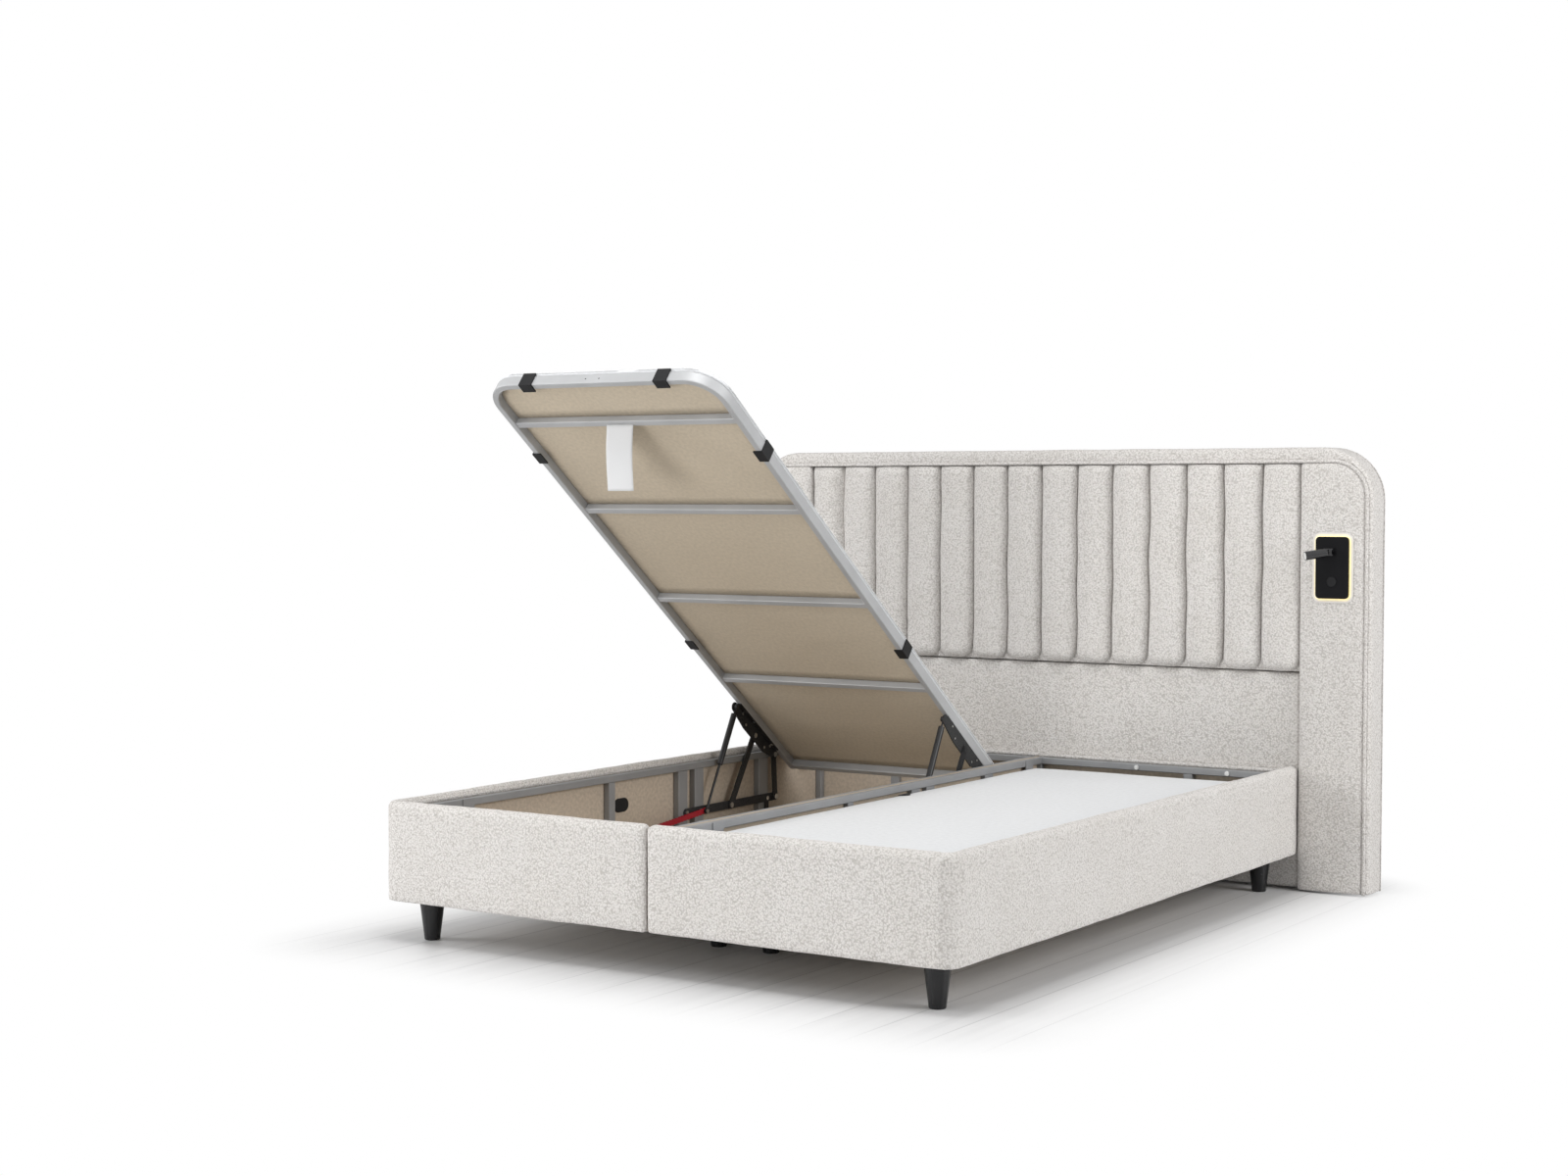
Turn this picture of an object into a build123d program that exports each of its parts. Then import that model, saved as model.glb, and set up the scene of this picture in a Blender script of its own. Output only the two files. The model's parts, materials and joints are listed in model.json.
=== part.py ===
"""Storage bed base with two lift-up lids and a headboard. All lengths are in mm.

X runs to the right, Y from the foot to the headboard, Z up. The floor is Z = 0 and X = 0 is the middle.
The left lid is built open and the right lid closed.
"""
import math
import os

from build123d import *

# Overall
BED_WIDTH = 1640.0
BED_LENGTH = 2030.0
HEADBOARD_DEPTH = 90.0
BASE_BOTTOM = 103.0
PANEL_HEIGHT = 254.0
CUT_OVERRUN = 5.0

# Walls of the base, from the outside in
COVER_THICK = 18.0
COVER_CAP = 12.0
COVER_TOP_ROUND = 12.0
COVER_INNER_ROUND = 5.0
COVER_CORNER_ROUND = 30.0
SEAM_ROUND = 7.0
BOARD_THICK = 10.0
BOARD_FOOT_GAP = 2.0
LINING_THICK = 2.0
REAR_BOARD_THICK = 18.0
DIVIDER_THICK = 3.5
HALF_GAP = 0.5

# Welded base frames
TUBE = 20.0
MIDDLE_TUBE = 16.0
TUBE_WALL = 1.5
TUBE_ROUND = 2.5
TUBE_DROP = 20.0
PLAIN_POST = 28.0
MECH_POST = 45.0
HEAD_POST = 50.0
POST_BAR_BACK = 800.0
POST_MID_BACK = 718.0
POST_HEAD_BACK = 373.0
POST_PLAIN_SHARE = 0.4365
CROSS_MIDDLE_SHARE = 0.5025
END_POST_SHARE = 0.635

# Floor boards
FLOOR_THICK = 12.0
FLOOR_GAP = 0.5

# Legs and their plates
LEG_TOP_RADIUS = 32.5
LEG_FOOT_RADIUS = 19.5
LEG_EDGE = 3.0
STUD_RADIUS = 4.0
STUD_LENGTH = 14.0
PLATE_SIZE = 72.0
PLATE_THICK = 3.0
INNER_PLATE_WIDTH = 94.0
INNER_LEG_IN = 415.0
BOLT_HOLE_GAP = 0.2

# Lids
LID_FOOT_GAP = 59.9
LID_END_GAP = 96.1
LID_SIDE_GAP = 8.0
LID_TUBE_WIDE = 18.0
LID_TUBE_HIGH = 30.0
LID_TUBE_WALL = 1.5
LID_TUBE_ROUND = 3.0
LID_BEND_RADIUS = 95.0
LID_HEAD_TUBE = 22.0
LID_CROSS_TUBE = 20.0
LID_CROSS_SHARES = (0.08378, 0.28335, 0.508, 0.72945)
LID_BOARD_THICK = 7.0
LID_BOARD_GAP = 0.3
LID_PAD_THICK = 15.0
LID_PAD_ROUND = 6.0
LID_PAD_UNDER_ROUND = 2.0
LID_HEAD_ROUND = 12.0
CLIP_LENGTH = 40.0
CLIP_THICK = 3.5
CLIP_LEG = 25.0
CLIP_HEIGHT = 36.0
CLIP_FOOT_SHARE = 0.783
CLIP_SIDE_SHARES = (0.1601, 0.6323)

# Lid rests
REST_THICK = 3.0
REST_LENGTH = 45.0
REST_LEDGE = 20.0
REST_GAP = 0.3
REST_FOOT_IN = 267.0
REST_HEAD_BACK = 122.0

# Lift linkage: pivots in the base from its head end and the floor, pivots in the lid from its head end and
# its underside
LID_OPEN_ANGLE = 37.4
LID_CLOSED_Z = 269.2
FRONT_PIVOT_BACK = 561.7
FRONT_PIVOT_Z = 192.0
REAR_PIVOT_BACK = 319.1
REAR_PIVOT_Z = 193.2
GAS_PIVOT_BACK = 705.1
GAS_PIVOT_Z = 189.8
LID_FRONT_BACK = 234.8
LID_FRONT_Z = -25.6
LID_REAR_BACK = 106.7
LID_REAR_Z = -13.4
LID_GAS_BACK = 380.8
LID_GAS_Z = -16.5

# Lift linkage plates, in layers inward from the frame tube
BAR_THICK = 4.0
BAR_HEIGHT = 25.0
BAR_FRONT_BACK = 788.0
BAR_FOOT_BACK = 360.0
BAR_FOOT_WIDTH = 20.0
BAR_TOE_LENGTH = 37.0
BAR_TOE_WIDTH = 16.0
BAR_TOE_THICK = 4.0
LAYER_GAP = 0.5
LINK_THICK = 4.0
LINK_WIDTH = 24.0
FLANGE_THICK = 3.5
FLANGE_LEG = 12.0
FLANGE_END_RADIUS = 14.0
FLANGE_MID_RADIUS = 15.0
FLANGE_LOW_Z = -29.0
FLANGE_LOW_FOOT_BACK = 299.0
FLANGE_LOW_HEAD_BACK = 172.0
FLANGE_SHELF_FOOT_BACK = 374.0
FLANGE_SHELF_HEAD_BACK = 114.0
PIVOT_RADIUS = 5.0
PIVOT_HEAD_RADIUS = 8.0
PIVOT_HEAD_THICK = 3.0
RUNNING_GAP = 0.05
HEAD_GAP = 0.3
RIVET_RADIUS = 3.0
RIVET_HEAD_RADIUS = 4.5
RIVET_HEAD_THICK = 1.5
MOUNT_RADIUS = 4.0
MOUNT_HEAD_RADIUS = 6.5
MOUNT_HEAD_THICK = 3.2
MOUNT_NUT_GAP = 2.0

# Gas springs and safety arms
EYE_RADIUS = 8.0
EYE_THICK = 6.0
GAS_ROD_RADIUS = 4.0
GAS_PISTON_LENGTH = 8.0
GAS_STOP_GAP = 1.0
GAS_RADIUS = 9.0
GAS_WALL = 2.0
GAS_NECK_RADIUS = 2.7
GAS_START = 24.0
GAS_END = 188.0
GAS_CAP = 6.0
ARM_THICK = 3.6
ARM_HEIGHT = 14.0
ARM_LENGTH = 245.0
ARM_DROP = 5.5
ARM_RIB = 1.6
ARM_RIB_COUNT = 16
ARM_LAYER_GAP = 0.7

# Oval caps on the inner walls
CAP_LENGTH = 65.0
CAP_HEIGHT = 40.0
CAP_THICK = 4.0
CAP_ROUND = 1.5
CAP_AFTER_POST = 65.0
CAP_Z = 245.0

# Headboard
HEAD_OVERHANG = 215.0
HEAD_TOP = 1268.0
HEAD_CORNER = 150.0
GLIDE_THICK = 5.0
GLIDE_RADIUS = 14.0
GLIDE_OUTER_IN = 105.0
GLIDE_INNER_SHARE = 0.32
BORDER_SIDE = 15.0
BORDER_TOP = 40.0
BORDER_CORNER = 100.0
BORDER_DEPTH = 101.0
BORDER_ROUND = 12.0
PIPING_RADIUS = 2.5
HEAD_BACK_THICK = 4.0
HEAD_PAD_THICK = 40.0
WING_WIDTH = 192.5
WING_PROUD = 25.0
WING_ROUND = 12.0
CHANNEL_COUNT = 14
CHANNEL_BOTTOM = 626.0
CHANNEL_CREST = 27.0
CHANNEL_END_ROUND = 24.0
CHANNEL_SCALLOP = 34.0
PANEL_GAP = 1.0
LOWER_ROUND = 6.0
HEAD_BOLT_RADIUS = 4.0
HEAD_BOLT_HEAD = 7.0
HEAD_BOLT_HEAD_THICK = 4.0
HEAD_BOLT_SHARES = (0.42, 0.8)
HEAD_BOLT_BITE = 30.0

# Control plates, buttons and reading lamps
CONTROL_IN = 110.0
CONTROL_DROP = 340.5
CONTROL_WIDTH = 96.0
CONTROL_HEIGHT = 175.0
CONTROL_THICK = 8.0
CONTROL_ROUND = 12.0
CONTROL_EDGE = 1.5
GUIDE_THICK = 3.0
GUIDE_INSET = 3.0
BUTTON_DROP = 380.0
BUTTON_RADIUS = 14.0
BUTTON_LENGTH = 5.0
BUTTON_PROUD = 0.8
BUTTON_RIM = 1.2
BUTTON_RIM_WIDTH = 2.0
BUTTON_EDGE = 0.6
BUTTON_TRAVEL = 1.5
LAMP_DROP = 296.0
LAMP_REACH = 17.0
LAMP_BARREL_RADIUS = 7.0
LAMP_BARREL_HEIGHT = 12.0
LAMP_STEM_RADIUS = 5.0
LAMP_EAR_THICK = 4.0
LAMP_PIN_RADIUS = 2.5
LAMP_RADIUS = 12.5
LAMP_LENGTH = 74.0
LAMP_START = 9.5
LAMP_ANGLE = 42.0
LAMP_DIP = 8.5
LAMP_WALL = 1.5
LAMP_EDGE = 0.6
LENS_THICK = 3.0
LENS_INSET = 0.6

# Places that follow from the sizes
HALF = BED_WIDTH / 2
FOOT = -(BED_LENGTH + HEADBOARD_DEPTH) / 2
REAR = FOOT + BED_LENGTH
BACK = REAR + HEADBOARD_DEPTH
BASE_TOP = BASE_BOTTOM + PANEL_HEIGHT
BOARD_TOP = BASE_TOP - COVER_CAP
BOARD_X = HALF - COVER_THICK
LINING_X = BOARD_X - BOARD_THICK
FRAME_X = LINING_X - LINING_THICK
OUTER_FACE = FRAME_X - TUBE
DIVIDER_X = HALF_GAP + DIVIDER_THICK
MIDDLE_FACE = DIVIDER_X + MIDDLE_TUBE
BOARD_Y = FOOT + COVER_THICK
LINING_Y = BOARD_Y + BOARD_THICK
FRAME_FOOT = LINING_Y + LINING_THICK
FRAME_REAR = REAR - REAR_BOARD_THICK - LINING_THICK
FOOT_FACE = FRAME_FOOT + TUBE
REAR_FACE = FRAME_REAR - TUBE
TUBE_TOP = BASE_TOP - TUBE_DROP
TUBE_UNDER = TUBE_TOP - TUBE
FLOOR_UNDER = BASE_BOTTOM + TUBE
FLOOR_TOP = FLOOR_UNDER + FLOOR_THICK
BAY_WIDTH = OUTER_FACE - MIDDLE_FACE
LID_CENTRE = MIDDLE_FACE + BAY_WIDTH / 2
LID_HALF = BAY_WIDTH / 2 - LID_SIDE_GAP
LID_LENGTH = BED_LENGTH - LID_FOOT_GAP - LID_END_GAP
LINK_IN = BAR_THICK + LAYER_GAP
LINK_OUT = LINK_IN + LINK_THICK
FLANGE_IN = LINK_OUT + LAYER_GAP
FLANGE_OUT = FLANGE_IN + FLANGE_THICK
EYE_IN = FLANGE_OUT + LAYER_GAP
EYE_OUT = EYE_IN + EYE_THICK
GAS_AXIS = EYE_IN + EYE_THICK / 2
ARM_OUT = EYE_IN - ARM_LAYER_GAP - LAYER_GAP
ARM_IN = ARM_OUT - ARM_THICK
LINK_RADIUS = LINK_WIDTH / 2
FLANGE_LOW_FOOT_Y = LID_LENGTH - FLANGE_LOW_FOOT_BACK
FLANGE_LOW_HEAD_Y = LID_LENGTH - FLANGE_LOW_HEAD_BACK
FLANGE_SHELF_FOOT_Y = LID_LENGTH - FLANGE_SHELF_FOOT_BACK
FLANGE_SHELF_HEAD_Y = LID_LENGTH - FLANGE_SHELF_HEAD_BACK
HEAD_HALF_WIDTH = HALF + HEAD_OVERHANG
WING_INNER_X = HEAD_HALF_WIDTH - BORDER_SIDE - PIPING_RADIUS - WING_WIDTH
WING_FRONT = REAR - WING_PROUD
BORDER_FRONT = BACK - HEAD_BACK_THICK - BORDER_DEPTH
CORE_FRONT = REAR + HEAD_PAD_THICK
CORE_BACK = BACK - HEAD_BACK_THICK
CONTROL_X = HEAD_HALF_WIDTH - CONTROL_IN
CONTROL_Z = HEAD_TOP - CONTROL_DROP
BUTTON_Z = HEAD_TOP - BUTTON_DROP
LAMP_Z = HEAD_TOP - LAMP_DROP


def block(x0, x1, y0, y1, z0, z1):
    """A box between two corners."""
    middle = Pos((x0 + x1) / 2, (y0 + y1) / 2, (z0 + z1) / 2)
    return middle * Box(x1 - x0, y1 - y0, z1 - z0)


def rod(start, end, radius):
    """A round bar from one point to another."""
    start, end = Vector(*start), Vector(*end)
    return extrude(Plane(origin=start, z_dir=end - start) * Circle(radius), amount=(end - start).length)


def tube_profile(wide, high, wall, round_radius):
    return RectangleRounded(wide, high, round_radius) - RectangleRounded(
        wide - 2 * wall, high - 2 * wall, round_radius - wall / 2)


def tube(x0, x1, y0, y1, z0, z1, wall, round_radius):
    """A square tube that fills a box and runs along its longest side."""
    size = {"x": x1 - x0, "y": y1 - y0, "z": z1 - z0}
    cx, cy, cz = (x0 + x1) / 2, (y0 + y1) / 2, (z0 + z1) / 2
    along = max(size, key=size.get)
    if along == "x":
        place, wide, high = Plane((x0, cy, cz), x_dir=(0, 1, 0), z_dir=(1, 0, 0)), size["y"], size["z"]
    elif along == "y":
        place, wide, high = Plane((cx, y0, cz), x_dir=(1, 0, 0), z_dir=(0, 1, 0)), size["x"], size["z"]
    else:
        place, wide, high = Plane((cx, cy, z0), x_dir=(1, 0, 0), z_dir=(0, 0, 1)), size["x"], size["y"]
    return extrude(place * tube_profile(wide, high, wall, round_radius), amount=size[along])


def flip(shape):
    return mirror(shape, about=Plane.YZ)


def both(shapes):
    """The shapes of the right half and their mirror images."""
    return list(shapes) + [flip(shape) for shape in shapes]


def on_side(side, shapes):
    return list(shapes) if side == "right" else [flip(shape) for shape in shapes]


def pair(shape):
    """A linkage piece at the middle tube and its mirror image at the outer tube of the right half."""
    return [Pos(X=MIDDLE_FACE) * shape, Pos(X=OUTER_FACE) * flip(shape)]


def upright(sketch, u0, u1):
    """A flat plate: the sketch is drawn in Y and Z, u is the distance from the frame tube."""
    return Pos(X=u0) * extrude(Plane.YZ * sketch, amount=u1 - u0)


def strap(start, end, radius):
    """The outline of a flat link with round ends."""
    run = math.dist(start, end)
    turn = math.degrees(math.atan2(end[1] - start[1], end[0] - start[0]))
    bar = Pos((start[0] + end[0]) / 2, (start[1] + end[1]) / 2) * Rot(Z=turn) * Rectangle(run, 2 * radius)
    return bar + Pos(*start) * Circle(radius) + Pos(*end) * Circle(radius)


def pin(point, u0, u1, radius):
    """A round bar across the linkage layers."""
    return upright(Pos(*point) * Circle(radius), u0, u1)


os.makedirs("parts", exist_ok=True)


def write(node, solids):
    export_step(Compound(children=list(solids)), f"parts/{node}.step")


# The lift linkage, solved at both ends of the lid's travel
FRONT_PIVOT = (REAR - FRONT_PIVOT_BACK, FRONT_PIVOT_Z)
REAR_PIVOT = (REAR - REAR_PIVOT_BACK, REAR_PIVOT_Z)
GAS_PIVOT = (REAR - GAS_PIVOT_BACK, GAS_PIVOT_Z)
LID_FRONT = (LID_LENGTH - LID_FRONT_BACK, LID_FRONT_Z)
LID_REAR = (LID_LENGTH - LID_REAR_BACK, LID_REAR_Z)
LID_GAS = (LID_LENGTH - LID_GAS_BACK, LID_GAS_Z)
CLOSED_ORIGIN = (FOOT + LID_FOOT_GAP, LID_CLOSED_Z)


def turned(vector, degrees):
    c, s = math.cos(math.radians(degrees)), math.sin(math.radians(degrees))
    return (c * vector[0] - s * vector[1], s * vector[0] + c * vector[1])


def plus(a, b):
    return (a[0] + b[0], a[1] + b[1])


def minus(a, b):
    return (a[0] - b[0], a[1] - b[1])


FRONT_LENGTH = math.dist(FRONT_PIVOT, plus(CLOSED_ORIGIN, LID_FRONT))
REAR_LENGTH = math.dist(REAR_PIVOT, plus(CLOSED_ORIGIN, LID_REAR))


def lid_origin(angle):
    """Where the lid's foot edge lies when the lid is tilted by an angle, from the two link lengths."""
    if angle == 0:
        return CLOSED_ORIGIN
    span = plus(minus(REAR_PIVOT, FRONT_PIVOT), turned(minus(LID_FRONT, LID_REAR), -angle))
    reach = math.hypot(*span)
    share = (FRONT_LENGTH ** 2 - reach ** 2 - REAR_LENGTH ** 2) / (2 * REAR_LENGTH * reach)
    heading = math.atan2(span[1], span[0]) + math.acos(share)
    rear = plus(REAR_PIVOT, (REAR_LENGTH * math.cos(heading), REAR_LENGTH * math.sin(heading)))
    return minus(rear, turned(LID_REAR, -angle))


def lift(angle):
    """The linkage at one lid angle."""
    origin = lid_origin(angle)
    spot = {name: plus(origin, turned(place, -angle))
            for name, place in (("front", LID_FRONT), ("rear", LID_REAR), ("gas", LID_GAS))}
    return {"angle": angle, "origin": origin, **spot}


POSES = {"left": lift(LID_OPEN_ANGLE), "right": lift(0)}
GAS_OPEN_LENGTH = math.dist(GAS_PIVOT, POSES["left"]["gas"])


def seat_lid(pose, shapes):
    """Moves pieces drawn in the lid's own frame to where the lid is."""
    place = Pos(LID_CENTRE, *pose["origin"]) * Rot(X=-pose["angle"])
    return [place * shape for shape in shapes]


def lid_pair(shape):
    """A piece under the lid's side tube and its mirror image under the other one, in the lid's frame."""
    reach = LID_HALF + LID_SIDE_GAP
    return [Pos(X=-reach) * shape, Pos(X=reach) * flip(shape)]


# Padded covers: one wrap over foot and side, cut at the corner
def covers():
    shell = block(HALF_GAP, HALF, FOOT, REAR, BASE_BOTTOM, BASE_TOP)
    upright_edges = shell.edges().filter_by(Axis.Z)
    shell = fillet(upright_edges.sort_by(lambda e: e.center().X - e.center().Y)[-1], COVER_CORNER_ROUND)
    seam = shell.edges().filter_by(Axis.Z).filter_by(
        lambda e: abs(e.center().X - HALF_GAP) < HALF_GAP and abs(e.center().Y - FOOT) < HALF_GAP)
    shell = fillet(seam, SEAM_ROUND)
    shell -= block(-HALF, BOARD_X, BOARD_Y, REAR + CUT_OVERRUN, BASE_BOTTOM - CUT_OVERRUN, BOARD_TOP)
    shell -= block(-HALF, FRAME_X, FRAME_FOOT, REAR + CUT_OVERRUN, BASE_BOTTOM - CUT_OVERRUN,
                   BASE_TOP + CUT_OVERRUN)
    top = shell.edges().filter_by(lambda e: abs(e.center().Z - BASE_TOP) < CUT_OVERRUN / 2)
    outer = top.filter_by(lambda e: e.center().X > HALF - COVER_CORNER_ROUND / 2
                          or e.center().Y < FOOT + COVER_CORNER_ROUND / 2)
    outer = outer.filter_by(lambda e: abs(e.center().Y - REAR) > CUT_OVERRUN
                            and abs(e.center().X - HALF_GAP) > HALF_GAP)
    shell = fillet(outer, COVER_TOP_ROUND)
    inner = shell.edges().filter_by(lambda e: abs(e.center().Z - BASE_TOP) < HALF_GAP)
    inner = inner.filter_by(lambda e: abs(e.center().X - FRAME_X) < HALF_GAP
                            or abs(e.center().Y - FRAME_FOOT) < HALF_GAP)
    shell = fillet(inner, COVER_INNER_ROUND)
    mitre = Plane(origin=(HALF, FOOT, BASE_BOTTOM), z_dir=(1, 1, 0))
    return split(shell, mitre, Keep.TOP), split(shell, mitre, Keep.BOTTOM)


rail_cover, foot_cover = covers()
for side in POSES:
    write(f"{side}_rail_cover", on_side(side, [rail_cover]))
    write(f"{side}_foot_cover", on_side(side, [foot_cover]))

# Boards and linings of the walls
HEAD_BOLTS = [MIDDLE_FACE + BAY_WIDTH * share for share in HEAD_BOLT_SHARES]
HEAD_BOLT_Z = TUBE_TOP - TUBE / 2
bolt_holes = [rod((x, REAR_FACE - CUT_OVERRUN, HEAD_BOLT_Z), (x, CORE_FRONT + HEAD_BOLT_BITE, HEAD_BOLT_Z),
                  HEAD_BOLT_RADIUS + BOLT_HOLE_GAP) for x in HEAD_BOLTS]
board_under = BASE_BOTTOM + BOARD_FOOT_GAP
rail_board = block(LINING_X, BOARD_X, BOARD_Y, REAR, board_under, BOARD_TOP)
foot_board = block(HALF_GAP, LINING_X, BOARD_Y, LINING_Y, board_under, BOARD_TOP)
rear_board = block(HALF_GAP, LINING_X, REAR - REAR_BOARD_THICK, REAR, board_under, BOARD_TOP)
divider = block(HALF_GAP, DIVIDER_X, LINING_Y, REAR - REAR_BOARD_THICK, board_under, TUBE_TOP)
rail_lining = block(FRAME_X, LINING_X, LINING_Y, REAR - REAR_BOARD_THICK, board_under, BOARD_TOP)
foot_lining = block(DIVIDER_X, FRAME_X, LINING_Y, FRAME_FOOT, board_under, BOARD_TOP)
rear_lining = block(DIVIDER_X, FRAME_X, FRAME_REAR, REAR - REAR_BOARD_THICK, board_under, BOARD_TOP)
for hole in bolt_holes:
    rear_board -= hole
    rear_lining -= hole
write("rail_boards", both([rail_board]))
write("foot_boards", both([foot_board]))
write("rear_boards", both([rear_board]))
write("divider_boards", both([divider]))
write("wall_linings", both([rail_lining, foot_lining, rear_lining]))

# Leg places, with each leg's plate in a corner of tubes
half_plate = PLATE_SIZE / 2
corner_x = OUTER_FACE - half_plate
inner_x = MIDDLE_FACE + INNER_PLATE_WIDTH - half_plate
LEG_PLACES = ((corner_x, FOOT_FACE + half_plate), (corner_x, REAR_FACE - half_plate),
              (inner_x, FOOT + INNER_LEG_IN), (inner_x, REAR - INNER_LEG_IN))

# Welded base frames
PLAIN_POST_Y = FOOT + BED_LENGTH * POST_PLAIN_SHARE
POSTS = ((PLAIN_POST_Y, PLAIN_POST), (REAR - POST_BAR_BACK, MECH_POST), (REAR - POST_MID_BACK, MECH_POST),
         (REAR - POST_HEAD_BACK, HEAD_POST))
BAR_BOLTS = ((REAR - BAR_FRONT_BACK, FRONT_PIVOT_Z), (REAR - POST_MID_BACK, FRONT_PIVOT_Z),
             (REAR - BAR_FOOT_BACK, FRONT_PIVOT_Z))
CROSS_PLACES = (FOOT_FACE + PLATE_SIZE, FOOT + INNER_LEG_IN + half_plate,
                FOOT + BED_LENGTH * CROSS_MIDDLE_SHARE, REAR - INNER_LEG_IN + half_plate,
                REAR_FACE - PLATE_SIZE - TUBE)


def base_frame():
    tubes = []
    for low, high in ((BASE_BOTTOM, FLOOR_UNDER), (TUBE_UNDER, TUBE_TOP)):
        tubes += [tube(DIVIDER_X, MIDDLE_FACE, FRAME_FOOT, FRAME_REAR, low, high, TUBE_WALL, TUBE_ROUND),
                  tube(OUTER_FACE, FRAME_X, FRAME_FOOT, FRAME_REAR, low, high, TUBE_WALL, TUBE_ROUND),
                  tube(MIDDLE_FACE, OUTER_FACE, FRAME_FOOT, FOOT_FACE, low, high, TUBE_WALL, TUBE_ROUND),
                  tube(MIDDLE_FACE, OUTER_FACE, REAR_FACE, FRAME_REAR, low, high, TUBE_WALL, TUBE_ROUND)]
    for start in CROSS_PLACES:
        tubes.append(tube(MIDDLE_FACE, OUTER_FACE, start, start + TUBE, BASE_BOTTOM, FLOOR_UNDER,
                          TUBE_WALL, TUBE_ROUND))
    spans = [(FRAME_FOOT, FOOT_FACE), (REAR_FACE, FRAME_REAR)]
    spans += [(y - wide / 2, y + wide / 2) for y, wide in POSTS]
    for x0, x1 in ((DIVIDER_X, MIDDLE_FACE), (OUTER_FACE, FRAME_X)):
        tubes += [tube(x0, x1, y0, y1, FLOOR_UNDER, TUBE_UNDER, TUBE_WALL, TUBE_ROUND) for y0, y1 in spans]
    end_post_x = MIDDLE_FACE + BAY_WIDTH * END_POST_SHARE
    for y0, y1 in ((FRAME_FOOT, FOOT_FACE), (REAR_FACE, FRAME_REAR)):
        tubes.append(tube(end_post_x - PLAIN_POST / 2, end_post_x + PLAIN_POST / 2, y0, y1,
                          FLOOR_UNDER, TUBE_UNDER, TUBE_WALL, TUBE_ROUND))
    drills = list(bolt_holes)
    for spot in BAR_BOLTS:
        drills += pair(pin(spot, -TUBE_WALL - BOLT_HOLE_GAP, 0, MOUNT_RADIUS + BOLT_HOLE_GAP))
    for drill in drills:
        spot = drill.center()
        for number, piece in enumerate(tubes):
            box = piece.bounding_box()
            near = (box.min.X - TUBE < spot.X < box.max.X + TUBE and box.min.Y - TUBE < spot.Y
                    and box.min.Z < spot.Z < box.max.Z)
            if near and spot.Y < box.max.Y + HEAD_PAD_THICK + TUBE:
                tubes[number] = piece - drill
    return tubes


frame = base_frame()
for side in POSES:
    write(f"{side}_base_frame", on_side(side, frame))

# Floor boards
floor = block(MIDDLE_FACE + FLOOR_GAP, OUTER_FACE - FLOOR_GAP, FOOT_FACE + FLOOR_GAP, REAR_FACE - FLOOR_GAP,
              FLOOR_UNDER, FLOOR_TOP)
write("floor_boards", both([floor]))


# Legs and leg plates
def leg():
    outline = Polyline((0, 0), (LEG_FOOT_RADIUS, 0), (LEG_TOP_RADIUS, BASE_BOTTOM), (STUD_RADIUS, BASE_BOTTOM),
                       (STUD_RADIUS, BASE_BOTTOM + STUD_LENGTH), (0, BASE_BOTTOM + STUD_LENGTH), close=True)
    body = revolve(Plane.XZ * make_face(outline), Axis.Z)
    rims = body.edges().filter_by(GeomType.CIRCLE).filter_by(
        lambda e: e.radius > STUD_RADIUS + BOLT_HOLE_GAP)
    return fillet(rims, LEG_EDGE)


legs, plates = [], []
for number, (x, y) in enumerate(LEG_PLACES):
    legs.append(Pos(x, y) * leg())
    plate_start = x - half_plate if number < 2 else MIDDLE_FACE
    plate = block(plate_start, x + half_plate, y - half_plate, y + half_plate,
                  BASE_BOTTOM, BASE_BOTTOM + PLATE_THICK)
    plates.append(plate - rod((x, y, 0), (x, y, BASE_TOP), STUD_RADIUS + BOLT_HOLE_GAP))
write("legs", both(legs))
write("leg_plates", both(plates))


# Rests that carry the closed lids, in layers inward from the frame tube
def lid_rest(y):
    ledge_top = LID_CLOSED_Z - REST_GAP
    ledge_low = ledge_top - REST_THICK
    hanger = block(0, REST_THICK, y - REST_LENGTH / 2, y + REST_LENGTH / 2, ledge_low, TUBE_TOP)
    return hanger + block(0, REST_LEDGE, y - REST_LENGTH / 2, y + REST_LENGTH / 2, ledge_low, ledge_top)


rests = [piece for y in (FOOT + REST_FOOT_IN, REAR - REST_HEAD_BACK) for piece in pair(lid_rest(y))]
write("lid_rests", both(rests))

# Oval caps on the side linings
cap = Pos(OUTER_FACE + TUBE, PLAIN_POST_Y + CAP_AFTER_POST, CAP_Z) * Rot(Y=-90) * extrude(
    Rot(Z=90) * SlotOverall(CAP_LENGTH, CAP_HEIGHT), amount=CAP_THICK)
cap = fillet(cap.faces().sort_by(Axis.X)[0].edges(), CAP_ROUND)
write("wall_caps", both([cap]))


# Lift bars and the bolts in them
def lift_bar():
    outline = strap(BAR_BOLTS[0], REAR_PIVOT, BAR_HEIGHT / 2)
    leg_y = REAR - BAR_FOOT_BACK
    bar = upright(outline, 0, BAR_THICK)
    bar += block(0, BAR_THICK, leg_y - BAR_FOOT_WIDTH / 2, leg_y + BAR_FOOT_WIDTH / 2, FLOOR_TOP, FRONT_PIVOT_Z)
    bar += block(0, BAR_TOE_WIDTH, leg_y - BAR_FOOT_WIDTH / 2, leg_y + BAR_TOE_LENGTH,
                 FLOOR_TOP, FLOOR_TOP + BAR_TOE_THICK)
    for spot in BAR_BOLTS:
        bar -= pin(spot, -CUT_OVERRUN, LINK_IN, MOUNT_RADIUS + BOLT_HOLE_GAP)
    for spot in (FRONT_PIVOT, REAR_PIVOT):
        bar -= pin(spot, -CUT_OVERRUN, LINK_IN, PIVOT_RADIUS)
    return bar - pin(GAS_PIVOT, -CUT_OVERRUN, LINK_IN, GAS_ROD_RADIUS)


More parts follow.
